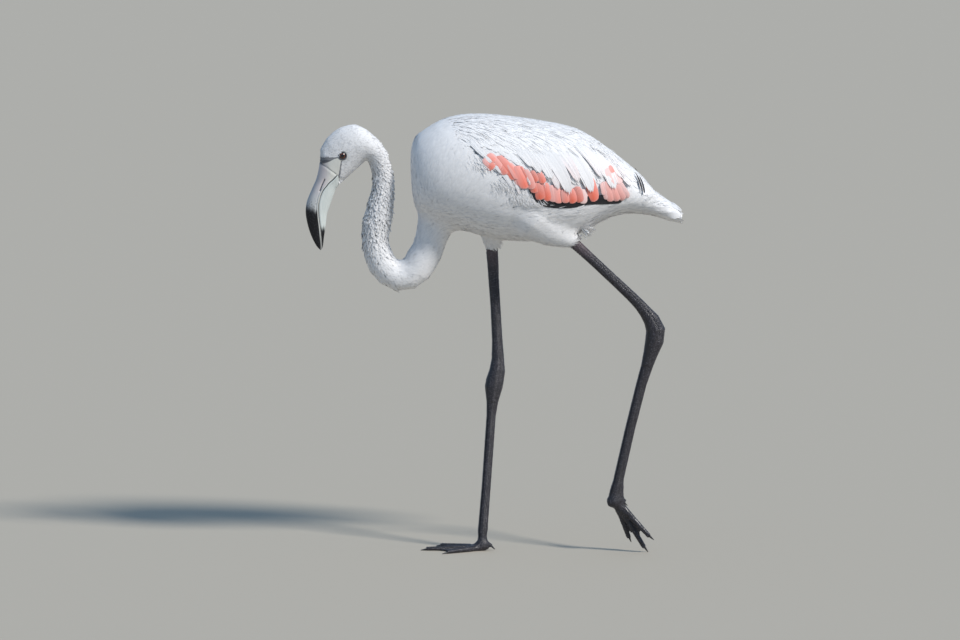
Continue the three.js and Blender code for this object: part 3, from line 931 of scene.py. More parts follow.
def node_shares(points, edges):
    """How far the skin is the wings' and the thighs' at each vertex."""
    corners, faces, owner = [], [], []
    for node in FLESH:
        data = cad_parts[node].data
        start = len(corners)
        corners += [tuple(v.co) for v in data.vertices]
        faces += [[start + v for v in face.vertices] for face in data.polygons]
        owner += [node] * len(data.polygons)
    tree = BVHTree.FromPolygons(corners, faces)
    nearest = [owner[tree.find_nearest(place)[2]] for place in points.tolist()]
    shares = {}
    for kind in ("wing", "thigh"):
        plain = np.array([1.0 if name.startswith(kind) else 0.0 for name in nearest])
        shares[kind] = relaxed(plain, edges, 12)
    return shares


def eye_distance(points):
    x = points[..., 0] - EYE_CENTRE["x"] * MM
    z = points[..., 2] - EYE_CENTRE["z"] * MM
    return np.hypot(x, z)


def bare_face(points):
    """1 on the bare skin of the face, 0 on the feathered skin."""
    bare = inside(points, LORE) | (eye_distance(points) < 8.6 * MM)
    return bare & (points[..., 0] < HEAD_BACK)


def horn_base(places):
    """Bare skin at the bill's base and the horn it runs into: cream behind, pinkish in front."""
    behind = ramp(places[..., 0], -279, -264) * ramp(places[..., 2], 596, 616)
    return mixed(np.broadcast_to(HORN_PINK, places.shape), BARE_CREAM, behind)


def skin_colour(points, feathers=False):
    """The markings of the face, of which feathers carry the stripe alone; the rest is white."""
    colours = np.tile(WHITE, (len(points), 1))
    face = bare_face(points)
    colours[face] = horn_base(points / MM)[face]
    front = ramp(-points[:, 0], 256 * MM, 279 * MM)
    on_head = points[:, 0] < HEAD_BACK
    stripe = 1 - ramp(near_line(points, LORE_STRIPE), (0.6 + 3.6 * front) * MM, (1.6 + 4.6 * front) * MM)
    colours = mixed(colours, STRIPE_GREY, stripe * on_head * 0.92)
    if feathers:
        return colours
    cheek = 1 - ramp(near_line(points, CHEEK_LINE), 0.8 * MM, 1.6 * MM)
    colours = mixed(colours, STRIPE_GREY * 1.6, cheek * on_head * 0.9)
    ring = 1 - ramp(eye_distance(points), 7.0 * MM, 8.6 * MM)
    return mixed(colours, STRIPE_GREY * 1.3, ring * on_head * 0.92)


def ruffled(along):
    """1 on the upper neck, whose small feathers stand up, by the way from the bill in millimetres."""
    return ramp(along, 70, 110) * (1 - ramp(along, 205, 262))


def coat_depth(points, along, edges, shares):
    """How deep the skin lies under the CAD's surface, to leave room for the coat."""
    depth = along_table(COAT, along / MM)[3] * MM
    depth = depth + shares["wing"] * 2.0 * MM
    depth = depth * (1 - 0.4 * shares["thigh"])
    depth = depth * (1 - 0.55 * ramp(points[:, 0], 235 * MM, 312 * MM))
    bare = relaxed(bare_face(points).astype(float), edges, 2)
    depth = depth * (1 - bare) + BARE_DEPTH * bare
    at_bill = 1 - ramp(into_face(points, UPPER_END, MM), 0.5 * MM, 4.5 * MM)
    depth = depth + 1.3 * MM * at_bill * (points[:, 0] < HEAD_BACK)
    return relaxed(depth, edges, 4)


def make_skin():
    """One skin for all the flesh. Gives it as a ground for feathers, and how far it is wing and thigh."""
    mesh = fused("skin", FLESH + ["eye_left", "eye_right"], SKIN_VOXEL, 10)
    smooth_body(mesh)
    refine_face(mesh)
    points, edges = points_of(mesh), edges_of(mesh)
    shares = node_shares(points, edges)
    starts = end_of(points, FACE_END)
    along = relaxed(travel(points, crossed_edges(mesh, edges), starts), edges, 12)
    depth = coat_depth(points, along, edges, shares)
    outward = unit(relaxed(normals_of(mesh), edges, 4))
    points = relaxed(points - outward * depth[:, None], edges, 4, FIRM)
    move_points(mesh, shape_lids(points))
    ground = Ground(mesh, FACE_END, depth)
    # Painted shade: the skin under the ruffled upper neck is darkened, so that the gaps between its tufts
    # look dark.
    paint(mesh, mixed(skin_colour(ground.points), GREY_MOTTLE_AND_SHADE * 0.4, 0.8 * ruffled(ground.along / MM)))
    add_piece(mesh, skin_look(), FLESH)
    return ground, shares


# ---------------------------------------------------------------- the coat

# How steeply the long feathers hang, in degrees, at a height.
DROOP = [(580, 84), (600, 80), (620, 72), (645, 60), (665, 50), (685, 42), (705, 33), (720, 25)]
FRONT_DROOP = 47  # in front of the wing
REAR_DROOP = 33  # near the tail
# How steeply the flight feathers run, in degrees, at a place along the wing.
FLIGHT_DROOP = [(44, 56), (56, 48), (66, 26), (80, 10), (100, 4), (140, 1)]
HEAD_COAT_END, NECK_COAT_END = 95, 470  # by the way from the bill in millimetres


def hanging(angle):
    """The direction back along the body that drops by an angle in degrees."""
    angle = np.radians(angle)
    return np.stack([np.cos(angle), np.zeros_like(angle), -np.sin(angle)], -1)


def wing_lie(points):
    """The long feathers of the folded wing hang back and down, the steeper the lower they are."""
    x, z = points[..., 0] / MM, points[..., 2] / MM
    steep = np.interp(z, *np.array(DROOP).T)
    front = 1 - ramp(x, -20, 60)
    steep = steep * (1 - front) + FRONT_DROOP * front
    rear = ramp(x, 180, 245)
    steep = steep * (1 - rear) + REAR_DROOP * rear
    return hanging(steep)


def flight_lie(points):
    """The closed flight feathers run along the wing's lower edge."""
    return hanging(np.interp(points[..., 0] / MM, *np.array(FLIGHT_DROOP).T))


def slimmed(points, before_tail, at_tip):
    """1 on the body, falling by way of one value before the tail to another at its tip."""
    return np.interp(points[:, 0] / MM, (205, 245, 300), (1, before_tail, at_tip))


def coat_spacing(ground, shares):
    """How far apart the small feathers grow: closer on thighs and tail, and none on the bare face."""
    centre = ground.centres()
    spacing = along_table(COAT, ground.at(ground.along) / MM)[0] * MM
    spacing = spacing * (1 - 0.3 * ground.at(shares["thigh"]))
    spacing = spacing * slimmed(centre, 0.75, 0.62)
    chin = (centre[:, 0] < -244 * MM) & (centre[:, 2] < 611 * MM)
    spacing = np.where(bare_face(centre) | chin | (centre[:, 0] > 297 * MM), 0, spacing)
    return np.where(ground.at(shares["wing"]) > 0.75, spacing * 1.3, spacing)


def grow_coat(ground, shares):
    """The small feathers of head, neck, body and thighs."""
    roots, where = ground.scatter(coat_spacing(ground, shares), seed=11)
    dice = np.random.default_rng(12)
    count = len(roots)
    along = ground.at(ground.along, where) / MM
    _, length, width, _ = along_table(COAT, along)
    thigh, wing = ground.at(shares["thigh"], where), ground.at(shares["wing"], where)
    small = 1 - 0.42 * thigh
    length = length * small * dice.uniform(0.8, 1.25, count)
    width = width * small * dice.uniform(0.85, 1.15, count)
    slim = slimmed(roots, 0.6, 0.42)
    length = length * slim
    width = width * slim
    way = unit(mixed(ground.at(ground.way, where), wing_lie(roots), wing))
    stand = ruffled(along)
    way = turned(way, ground.at(ground.normals, where), dice.normal(0, np.radians(5 + 12 * stand)))
    high = 1 + dice.normal(0, 0.05 + 0.25 * stand) - 0.35 * wing
    soft = 0.75 - 0.45 * stand - 0.3 * (1 - ramp(along, 60, 110)) - 0.1 * thigh
    greyish = 0.22 * (1 - ramp(along, 60, 120)) + 0.04 * (1 - ramp(along, 380, 460))
    grey = (dice.random(count) < greyish) * dice.uniform(0.2, 0.7, count)
    tip = mixed(WHITE * dice.uniform(0.95, 1.03, count)[:, None], GREY_MOTTLE_AND_SHADE, grey)
    marked = skin_colour(roots, feathers=True)
    dark = np.clip((WHITE.mean() - marked.mean(1)) / WHITE.mean(), 0, 1)
    tip = mixed(tip, marked, dark)
    # Painted shade: the roots of the ruffled neck tufts are darkened, so that the gaps between them look
    # dark.
    root = mixed(np.tile(SHADED_WHITE, (count, 1)), GREY_MOTTLE_AND_SHADE * 0.8, 0.6 * stand)
    root = mixed(root, marked, dark)
    feather = plumage_look("white plumage", 0.62, 16)
    roll = np.radians(3) + dice.normal(0, np.radians(3 + 9 * stand))
    regions = {
        "coat_head": along < HEAD_COAT_END,
        "coat_neck": (along >= HEAD_COAT_END) & (along < NECK_COAT_END),
        "coat_body": (along >= NECK_COAT_END) & (thigh < 0.5),
        "coat_thighs": (along >= NECK_COAT_END) & (thigh >= 0.5),
    }
    for name, own in regions.items():
        crop = Crop(
            roots[own], way[own], length[own] * MM, width[own] * MM, root_tint=root[own], tip_tint=tip[own],
            thick=0.12 * MM + width[own] * 0.022 * MM, low=0.3 + 0.35 * ramp(along[own], 225, 330),
            high=high[own], roll=roll[own], soft=soft[own],
        )
        grow(name, ground, crop, TUFT if name == "coat_head" else SOFT, feather)


# ---------------------------------------------------------------- wings and tail

# Rings of tail feathers: x of the roots, length, width and how much further the upper ones stand off.
TAIL_RINGS = [(250, 42, 11, 0), (265, 42, 10.5, 0), (280, 36, 9.5, 0.8), (290, 22, 8.5, 2.2)]
TAIL_ROUND = 16  # feathers in a ring
TAIL_END = 309
# How long the feathers of the back are, by the x of their roots.
BACK_LENGTHS = [(-80, 26), (-30, 44), (60, 62), (200, 56), (250, 42)]
# The edge in the side view where they end over the coral ones.
BAND_TOP = [(-40, 668), (-10, 664), (10, 656), (20, 650), (33, 640), (48, 637), (62, 640), (78, 629),
            (95, 622), (110, 621), (125, 614), (140, 616), (163, 616), (175, 612), (190, 631), (200, 631),
            (212, 612), (226, 596), (262, 584)]
# Coral coverts: x and z of the tip, length, width, and how coral each is.
COVERTS = [
    (-7.3, 645.5, 13, 12, 0.6), (0.9, 649.6, 16, 16.8, 0.8), (-0.7, 638.9, 18, 15.6, 0.9),
    (10.8, 638.9, 30, 15.6, 0.7), (20.6, 629.8, 34, 16.8, 0.85), (31.2, 620.5, 46, 19.2, 0.95),
    (38.6, 622.4, 30, 14.4, 0.8), (42.7, 613, 30, 15.6, 0.75), (50.1, 607, 40, 20.4, 0.95),
    (60, 606, 34, 15, 0.75), (55.8, 614.1, 32, 5, 1.15), (67.3, 618, 20, 12, 0.95),
    (79.6, 615.8, 20, 12, 0.95), (66, 601, 24, 14, 0.95), (74.5, 590.5, 28, 20, 1.05),
    (86, 588, 31, 18, 1.1), (97.5, 587, 28, 16, 0.6), (106.7, 584.5, 28, 17, 0.75),
    (117.3, 585, 24, 15.5, 0.85), (127.2, 583.2, 25, 16, 1), (136.2, 585, 27, 17, 0.9),
    (146, 583.2, 24, 16, 0.25), (159.2, 583.5, 46, 19.2, 1.2), (177.5, 595, 20, 9, 0.5),
    (180.5, 588.5, 30, 12, 0.4), (188, 583.5, 36, 16, 0.65), (197, 583, 44, 17, 0.65),
    (205.9, 583.5, 42, 16.8, 0.6), (214.1, 587, 36, 13.2, 0.4), (191.1, 607.5, 30, 21.6, 0.3),
    (202.6, 609.2, 28, 18, 0.25), (192, 627.3, 13, 14.4, 0.75),
]
# White feathers that droop over them like fingers: x and z of the tip, length, width, and how flushed.
FINGERS = [
    (29, 609, 42, 7, 0.1), (41, 600, 26, 6, 0.3), (57, 612, 38, 4, 0.3), (60, 638, 44, 14, 0.1),
    (72, 628, 50, 14, 0.1), (89, 617, 62, 18, 0.1), (100, 604, 58, 14, 0.5), (113, 592, 88, 25, 0.12),
    (131, 611, 73, 18, 0.55), (149.5, 593, 90, 25, 0.08), (168, 616, 74, 18, 0.3),
    (186, 594.5, 88, 23, 0.05), (203, 612, 63, 17, 0.4), (220, 602, 58, 15, 0.15), (-12, 655, 40, 10, 0),
    (-3, 647, 34, 8, 0.1), (12, 631, 30, 6, 0.2),
]
FINGER_STRANDS = 9
STRAND_OVERLAP = 2.1  # how many times as wide a strand is as its even share of the feather
NEAR_STRAY, FAR_STRAY = 0.3, 1.6  # how far tips stray from their tables, on the left and on the right
MOST_OUTWARD = 1.3  # how many times as long a feather may become because it also runs outwards
BEND = 1.03  # how many times as long it is again because it bends over the skin
OUTSIDE, ON_FLANK = 250, 60  # well outside the body, and about on its flank
# Black tips that show at the rear: x and z of the tip, length and width. They hang steeper than the rest.
REAR_TIPS = [(241.5, 588, 30, 3.8), (237.5, 592, 28, 2.0), (233.5, 598, 26, 2.6)]
REAR_DROP = 70
# Thin dark grey lines between the back feathers: x and z of each end.
DARK_STREAKS = [[(89, 690), (117, 669)], [(165, 662), (178, 640)], [(195, 640), (203, 629)],
               [(44, 700), (62, 688)], [(12, 697), (20, 686)], [(-28, 694), (-6, 670)],
               [(118, 668), (137, 648)]]
# The lower edge of the closed flight feathers.
FLIGHT_EDGE = [(51, 603), (57, 589), (66, 583.5), (88, 580.5), (140, 579.4), (186, 580)]
# Where fine loose barbs stand off the coat: the middle in x and z, the reach in x and z, and how many.
BARBS = [
    (-12, 648, 26, 10, 130), (18, 618, 20, 10, 130), (40, 600, 16, 10, 110), (58, 588, 18, 8, 110),
    (108, 566, 60, 12, 90), (78, 634, 14, 7, 60), (215, 655, 26, 14, 110), (180, 692, 30, 10, 60),
    (168, 545, 24, 12, 110), (272, 590, 30, 12, 60),
]
# Where loose feathers stand off the belly behind each thigh.
BELLY_TUFT = {"x": (137, 150), "z": (532, 545), "count": 44}


def along_line(line, pitch):
    """Places at an even pitch along a line of x, z corners."""
    corners = np.array(line, float)
    steps = np.concatenate([[0], np.cumsum(np.linalg.norm(np.diff(corners, axis=0), axis=1))])
    at = np.arange(0, steps[-1], pitch)
    return np.stack([np.interp(at, steps, corners[:, 0]), np.interp(at, steps, corners[:, 1])], 1)


def on_side(ground, x, z, side):
    """The skin's points that are seen at x and z from one side."""
    spots = []
    for x_here, z_here in zip(x, z):
        start = Vector((x_here, side * OUTSIDE, z_here)) * MM
        hit = ground.tree.ray_cast(start, Vector((0, -side, 0)))[0]
        if hit is None:
            hit = ground.tree.find_nearest(Vector((x_here, side * ON_FLANK, z_here)) * MM)[0]
        spots.append(hit[:])
    return np.array(spots)


def rear_lie(points):
    """The black tips at the rear hang almost straight down, and out over the flank."""
    lie = hanging(np.full(points.shape[:-1], REAR_DROP))
    lie[..., 1] = 0.7 * np.sign(points[..., 1])
    return lie


def walk_back(x, z, length, lie):
    """Where feathers start, in the side view, that reach their tips along a lie."""
    spots = np.stack([x, np.zeros_like(x), z], 1) * MM
    steps = 16
    for _ in range(steps):
        spots = spots - lie(spots) * (length / steps * MM)[:, None]
    return spots[:, 0] / MM, spots[:, 2] / MM


def hung(ground, table, side, dice, lie=wing_lie, veer=0.0, **more):
    """A crop of wing feathers whose tips hang where a table says, loosely mirrored on the far side.

    Each drops steeper than the lie by its own veer, in degrees.
    """
    x, z, length, width = np.array(table, float)[:, :4].T
    stray = NEAR_STRAY if side < 0 else FAR_STRAY
    x = x + dice.normal(0, stray, len(x))
    z = z + dice.normal(0, stray, len(x))
    cos, sin = np.cos(np.radians(veer)), np.sin(np.radians(veer))

    def own_lie(places):
        plain = lie(places)
        across, up = plain[:, 0], plain[:, 2]
        return np.stack([across * cos + up * sin, plain[:, 1], up * cos - across * sin], 1)

    roots = on_side(ground, *walk_back(x, z, length, own_lie), side)
    run = on_side(ground, x, z, side) - roots
    outward = np.linalg.norm(run, axis=1) / np.linalg.norm(run[:, ::2], axis=1)
    length = length * np.clip(outward, 1, MOST_OUTWARD) * BEND
    more.setdefault("roll", dice.normal(0, np.radians(4), len(x)))
    more["from_side"] = lie is wing_lie
    return Crop(roots, own_lie(roots), length * MM, width * MM, lie=own_lie, **more)


def split(table, strands, dice):
    """Rows for the strands that each row's feather falls into: side by side, and closer at the rounded end.

    The fifth value of a row is the strand's place across the feather, from -1 to 1.
    """
    rows = []
    for x, z, length, width, *rest in table:
        drop = wing_lie(np.array([[x, 0, z]]) * MM)[0]
        for u, ragged in zip(np.linspace(-1, 1, strands), dice.normal(0, 1, strands)):
            short = 0.38 * width * u * u + 0.012 * length * ragged
            away = 0.5 * u * width / 2
            rows.append((
                x - drop[2] * away - drop[0] * short, z + drop[0] * away - drop[2] * short,
                length - short, width / strands * STRAND_OVERLAP, u, *rest,
            ))
    return np.array(rows)


def grow_flight(ground, name, side, web):
    """Black flight feathers, of which a line shows under the coverts, and a few tips at the rear."""
    dice = np.random.default_rng(41 + side)
    x, z = along_line(FLIGHT_EDGE, 9.0).T
    ends = FLIGHT_EDGE[-1][0]
    length = np.clip(ends - x + 6, 24, 74) + dice.normal(0, 2, len(x))
    width = np.full(len(x), 15.0)
    turn = np.radians(np.interp(x, *np.array(FLIGHT_DROOP).T))
    x, z = x + width / 2 * np.sin(turn), z + width / 2 * np.cos(turn)
    roots = on_side(ground, x, z, side)
    black = {"root_tint": BLACK * 2, "tip_tint": BLACK, "edge_tint": BLACK * 5, "edge_share": 0.35}
    crop = Crop(
        roots, flight_lie(roots), length * MM, width * MM, thick=0.4 * MM, low=0.92, high=0.95,
        extra=0.2 * MM, lie=flight_lie, **black,
    )
    grow("flight_feathers_" + name, ground, crop, QUILL, web)
    crop = hung(
        ground, REAR_TIPS, side, dice, lie=rear_lie,
        thick=0.3 * MM, low=1.1, high=1.15, extra=2.6 * MM, **black,
    )
    grow("rear_quills_" + name, ground, crop, QUILL, web)


def grow_coverts(ground, name, side, web):
    """Rounded coral coverts with paler rims, which hang over the flight feathers."""
    dice = np.random.default_rng(51 + side)
    rows = np.array(COVERTS, float)
    strength = rows[:, 4]
    count = len(strength)
    tips = mixed(FLUSH, CORAL * dice.uniform(0.9, 1.1, count)[:, None], np.minimum(strength, 1))
    roots = mixed(tips, FLUSH * 0.95, np.full(count, 0.3))
    layer = 0.9 + 0.8 * ramp(rows[:, 1], 588, 612) + dice.uniform(0, 0.8, count)
    roll = dice.normal(0, np.radians(11), count)
    crop = hung(
        ground, COVERTS, side, dice, thick=0.45 * MM, low=0.9, high=1.02, extra=layer * MM, roll=roll,
        root_tint=roots, tip_tint=tips, tip_from=0.0, soft=0.15,
        edge_tint=mixed(tips, WHITE, np.full(count, 0.4)), edge_share=0.55,
    )
    grow("coverts_" + name, ground, crop, ROUND, web)


def grow_fingers(ground, name, side, web):
    """Long white feathers that droop over the coral ones, each fallen into silky strands."""
    dice = np.random.default_rng(57 + side)
    rows = split(FINGERS, FINGER_STRANDS, dice)
    count = len(rows)
    order = np.repeat(dice.uniform(1.4, 2.3, len(FINGERS)), FINGER_STRANDS)
    tone = dice.uniform(0.94, 1.05, count)[:, None]
    flush = np.clip(rows[:, 5] * (1 + 0.8 * np.abs(rows[:, 4])), 0, 1)
    tips = mixed(WHITE * tone, FLUSH, flush)
    across = rows[:, 4] * rows[:, 3] * FINGER_STRANDS / STRAND_OVERLAP / 2
    crop = hung(
        ground, rows, side, dice, thick=0.25 * MM, low=0.4, high=1.1,
        veer=np.degrees(np.arctan2(0.42 * across, rows[:, 2])),
        extra=(order + 0.5 * (1 - rows[:, 4] ** 2) + dice.uniform(0, 0.3, count)) * MM,
        root_tint=mixed(SHADED_WHITE * tone, WHITE, np.full(count, 0.4)), tip_tint=tips, soft=0.35,
        roll=dice.normal(0, np.radians(5), count) + rows[:, 4] * np.radians(14),
    )
    grow("drooping_feathers_" + name, ground, crop, STRAND, web)


def mantle(points, low, high):
    """1 on the rump and on the back, whose sides fade out between two heights."""
    back = ramp(points[:, 0], -75 * MM, -40 * MM) * ramp(points[:, 2], low * MM, high * MM)
    rump = ramp(points[:, 0], 150 * MM, 190 * MM) * ramp(points[:, 2], 600 * MM, 625 * MM)
    return np.maximum(back, rump)


def over_band(points, margin=0):
    """Which points lie higher than the coral feathers, by more than a margin in millimetres."""
    return points[:, 2] / MM > np.interp(points[:, 0] / MM, *np.array(BAND_TOP).T) + margin


def run_to_band(spots):
    """How many millimetres feathers can run on from where they start before they reach the coral ones."""
    step = 1.5
    reach, still_over = np.zeros(len(spots)), np.ones(len(spots), bool)
    for _ in range(60):
        spots = spots + wing_lie(spots) * step * MM
        still_over &= over_band(spots)
        reach += step * still_over
    return reach


def grow_silk(ground, shares, web):
    """Loose silky strands that lie over the feathers of the wings and back, and finer over the body."""
    centre, wing = ground.centres(), ground.at(shares["wing"])
    over = (np.maximum(wing, mantle(centre, 650, 680)) > 0.4) & over_band(centre, 22)
    body = (ground.at(ground.along) > 430 * MM) & (wing < 0.3) & (centre[:, 0] < 285 * MM)
    roots, where = ground.scatter(np.where(over, 4.0 * MM, np.where(body, 5.2 * MM, 0)), seed=65)
    dice = np.random.default_rng(66)
    count = len(roots)
    on_wing = over[where].astype(float)
    way = unit(mixed(ground.at(ground.way, where), wing_lie(roots), on_wing))
    way = turned(way, ground.at(ground.normals, where), np.radians(dice.normal(0, 4, count)))
    length = dice.uniform(20, 38, count) * (0.6 + 0.4 * on_wing) * slimmed(roots, 0.7, 0.5)
    width = dice.uniform(0.9, 1.9, count) * (0.6 + 0.4 * on_wing)
    tone = dice.uniform(0.94, 1.05, count)[:, None]
    low = 0.55 + 0.1 * on_wing
    for name, own in (("silk_wings", on_wing > 0.5), ("silk_body", on_wing < 0.5)):
        crop = Crop(
            roots[own], way[own], length[own] * MM, width[own] * MM, thick=0.14 * MM,
            low=low[own], high=1.0, extra=dice.uniform(0.1, 0.5, own.sum()) * MM,
            lie=wing_lie if name == "silk_wings" else None, turn=0.5, soft=0.8,
            root_tint=WHITE * tone[own] * 0.97, tip_tint=WHITE * tone[own],
        )
        grow(name, ground, crop, WISP, web)


def grow_back(ground, shares, web):
    """Long white feathers of the back, which hang over both wings down to the coral band."""
    centre = ground.centres()
    wanted = np.maximum(ground.at(shares["wing"]), mantle(centre, 660, 685)) > 0.4
    roots, where = ground.scatter(np.where(wanted & over_band(centre, 14), 5.4 * MM, 0), seed=61)
    dice = np.random.default_rng(62)
    count = len(roots)
    way = turned(wing_lie(roots), ground.at(ground.normals, where), np.radians(dice.normal(0, 3, count)))
    length = along_table(BACK_LENGTHS, roots[:, 0] / MM)[0] * dice.uniform(0.85, 1.15, count)
    on_flank = np.abs(roots[:, 1]) > 25 * MM
    limit = np.maximum(run_to_band(roots), 12) + dice.normal(0, 3, count)
    length = np.where(on_flank, np.minimum(length, limit), length)
    length = np.minimum(length, (300 - roots[:, 0] / MM) * 1.05)  # none runs on past the tail
    pink = dice.random(count) * ramp(-roots[:, 2], -660 * MM, -610 * MM) * 0.5
    tip = mixed(WHITE * dice.uniform(0.96, 1.03, count)[:, None], FLUSH, pink)
    crop = Crop(
        roots, way, length * MM, np.clip(length * 0.22, 6, 13) * dice.uniform(0.9, 1.15, count) * MM,
        thick=0.22 * MM, low=0.5, high=0.9, extra=dice.uniform(0.0, 0.4, count) * MM,
        lie=wing_lie, turn=0.5, roll=np.radians(2) + dice.normal(0, np.radians(3), count), soft=0.75,
        root_tint=SHADED_WHITE, tip_tint=tip, edge_tint=WHITE * 1.02, edge_share=0.4,
    )
    grow("back_feathers", ground, crop, LANCE, web)


def grow_dark_streaks(ground, name, side, web):
    """Thin dark grey wisps that lie between the back feathers."""
    starts = np.array([line[0] for line in DARK_STREAKS], float)
    ends = np.array([line[1] for line in DARK_STREAKS], float)
    run = ends - starts
    way = np.stack([run[:, 0], np.zeros(len(run)), run[:, 1]], 1)
    crop = Crop(
        on_side(ground, *starts.T, side), unit(way), np.linalg.norm(run, axis=1) * MM, 1.0 * MM,
        thick=0.2 * MM, low=1.05, high=1.05, extra=1.2 * MM,
        root_tint=GREY_MOTTLE_AND_SHADE * 0.6, tip_tint=GREY_MOTTLE_AND_SHADE * 0.35,
    )
    grow("dark_shafts_" + name, ground, crop, WISP, web)


def grow_barbs(ground, name, side, web):
    """Fine white barbs that stand off the edges of the coat."""
    dice = np.random.default_rng(91 + side)
    x, z = [], []
    for middle_x, middle_z, reach_x, reach_z, number in BARBS:
        x.append(dice.normal(middle_x, reach_x / 2, number))
        z.append(dice.normal(middle_z, reach_z / 2, number))
    roots = on_side(ground, np.concatenate(x), np.concatenate(z), side)
    count = len(roots)
    _, where = ground.nearest(roots)
    below = ramp(-roots[:, 2], -600 * MM, -570 * MM)
    way = unit(mixed(wing_lie(roots), ground.at(ground.way, where), below))
    way = turned(way, ground.at(ground.normals, where), np.radians(dice.normal(0, 13, count)))
    crop = Crop(
        roots, way, dice.uniform(9, 18, count) * MM, dice.uniform(0.5, 1.0, count) * MM, thick=0.16 * MM,
        low=0.9, high=1.1, extra=dice.uniform(0.6, 1.6, count) * MM, cling=0.8,
        root_tint=WHITE, tip_tint=WHITE * 1.05,
    )
    grow("loose_barbs_" + name, ground, crop, WISP, web)


def grow_tuft(ground, name, side, web):
    """Loose feathers that stand off the belly behind the thigh."""
    dice = np.random.default_rng(97 + side)
    count = BELLY_TUFT["count"]
    x, z = (dice.uniform(*BELLY_TUFT[axis], count) for axis in ("x", "z"))
    roots = on_side(ground, x, z, side)
    way = unit(np.array((1, 0.1 * side, -0.3)) + dice.normal(0, 0.22, (count, 3)))
    crop = Crop(
        roots, way, dice.uniform(12, 19, count) * MM, dice.uniform(2.6, 4.2, count) * MM, thick=0.25 * MM,
        low=0.3, high=dice.uniform(1.8, 4.2, count), extra=dice.uniform(0, 1, count) * MM, cling=0.3,
        roll=dice.normal(0, 0.4, count), root_tint=SHADED_WHITE, tip_tint=WHITE * 1.03, soft=0.3,
    )
    grow("belly_tuft_" + name, ground, crop, SOFT, web)


def grow_tail(ground, web):
    """Broad white feathers in rings round the tail, whose worn ends make its blunt tip."""
    dice = np.random.default_rng(71)
    roots, lengths, widths, lifts = [], [], [], []
    for x, length, width, lift in TAIL_RINGS:
        near = np.abs(ground.points[:, 0] - x * MM) < 3 * MM
        middle = Vector((x * MM, 0, ground.points[near, 2].mean()))
        for angle in np.linspace(0, 2 * math.pi, TAIL_ROUND, endpoint=False) + dice.uniform(0, 0.4):
            out = Vector((0, math.cos(angle), math.sin(angle)))
            start = middle + out * 0.3  # well outside the tail
            hit = ground.tree.ray_cast(start, -out)[0]
            if hit is not None:
                roots.append(hit[:])
                level = 0.9 - 0.06 * out.z  # how far it gets along x for its length
                lengths.append(min(length, (TAIL_END - x) / level) + dice.normal(0, 1.3))
                widths.append(width)
                lifts.append(lift * max(out.z, 0))
    roots, lengths = np.array(roots), np.array(lengths)
    count = len(roots)
    _, where = ground.nearest(roots)
    way = unit(ground.at(ground.way, where) + np.array((0.5, 0, -0.2)))
    crop = Crop(
        roots, way, lengths * MM, np.array(widths) * MM, thick=0.35 * MM, low=0.5, high=0.8,
        extra=(dice.uniform(0.2, 0.9, count) + lifts) * MM, cling=0.95, soft=0.5, root_tint=SHADED_WHITE,
        tip_tint=WHITE * dice.uniform(0.97, 1.03, count)[:, None], edge_tint=WHITE, edge_share=0.3,
    )
    grow("tail_feathers", ground, crop, QUILL, web)


def grow_wings(ground, shares):
    """All that grows on the wings, the back and the tail."""
    white = plumage_look("long white feathers", 0.6, 60)
    coral = plumage_look("coral coverts", 0.6, 36)
    black = plumage_look("black quills", 0.42, 70)
    for name, side in SIDES.items():
        grow_flight(ground, name, side, black)
        grow_coverts(ground, name, side, coral)
        grow_fingers(ground, name, side, white)
        grow_barbs(ground, name, side, white)
        grow_dark_streaks(ground, name, side, black)
        grow_tuft(ground, name, side, white)
    grow_back(ground, shares, white)
    grow_silk(ground, shares, white)
    grow_tail(ground, white)


# ---------------------------------------------------------------- bill and eyes

# The bill from its tip to the forehead: x and z of the culmen, x and z of the keel, half-width, and
# where the mouth line crosses, as a share of the way from culmen to keel.
BILL = [
    (-284, 498, -282, 499, 1.2, 0.90),
    (-291, 506, -280, 505, 3.4, 0.86),
    (-299, 522, -278, 520, 6, 0.778),
    (-305, 541, -275, 541, 8.5, 0.683),
    (-308, 560, -273, 557, 10.5, 0.620),
    (-306, 578, -267, 575, 12, 0.510),
    (-298, 598, -262, 589, 12.8, 0.470),
    (-290, 617, -259, 598, 13, 0.575),
    (-285, 642, -255, 603, 14.2, 0.710),
    (-284, 665, -246, 613, 17, 0.789),
]
BILL_STEPS = 24  # rings between two rows
BILL_ARC = 92  # points of a ring on the outside
BILL_CHORD = 12  # points of a ring inside the mouth
MOUTH_GAP = 0.45
ACROSS = np.array((0, 1, 0))
NOSTRIL = [(-276.7, 615.4), (-281.0, 606.0), (-284.6, 596.6)]
# Where each half meets the face, and how far it runs on under the skin.
UPPER_END = {"point": (-258, 0, 621), "normal": (0.616, 0, 0.788), "under": 5}
LOWER_END = {"point": (-257, 0, 620), "normal": (0.992, 0, 0.124), "under": 3}

BILL_GREY = np.array((0.56, 0.565, 0.56))
# Painted shade along the culmen, the bill's front edge: a blue-grey.
CULMEN_SHADE = np.array((0.33, 0.35, 0.38))
LIP_CREAM = np.array((0.66, 0.66, 0.62))
LOWER_GREY = np.array((0.60, 0.635, 0.61))
# The eye's rings: how far out each begins, as a share of its radius, and its colour.
EYE_RINGS = [
    (0.31, (0.002, 0.002, 0.002, 1)),
    (0.34, (0.05, 0.015, 0.008, 1)),
    (0.46, (0.13, 0.038, 0.018, 1)),
    (0.55, (0.06, 0.02, 0.012, 1)),
    (0.61, (0.008, 0.007, 0.007, 1)),
]


def into_face(points, end, scale=1):
    """How far points lie behind the plane where a half of the bill meets the face."""
    return (points - np.array(end["point"]) * scale) @ np.array(end["normal"])


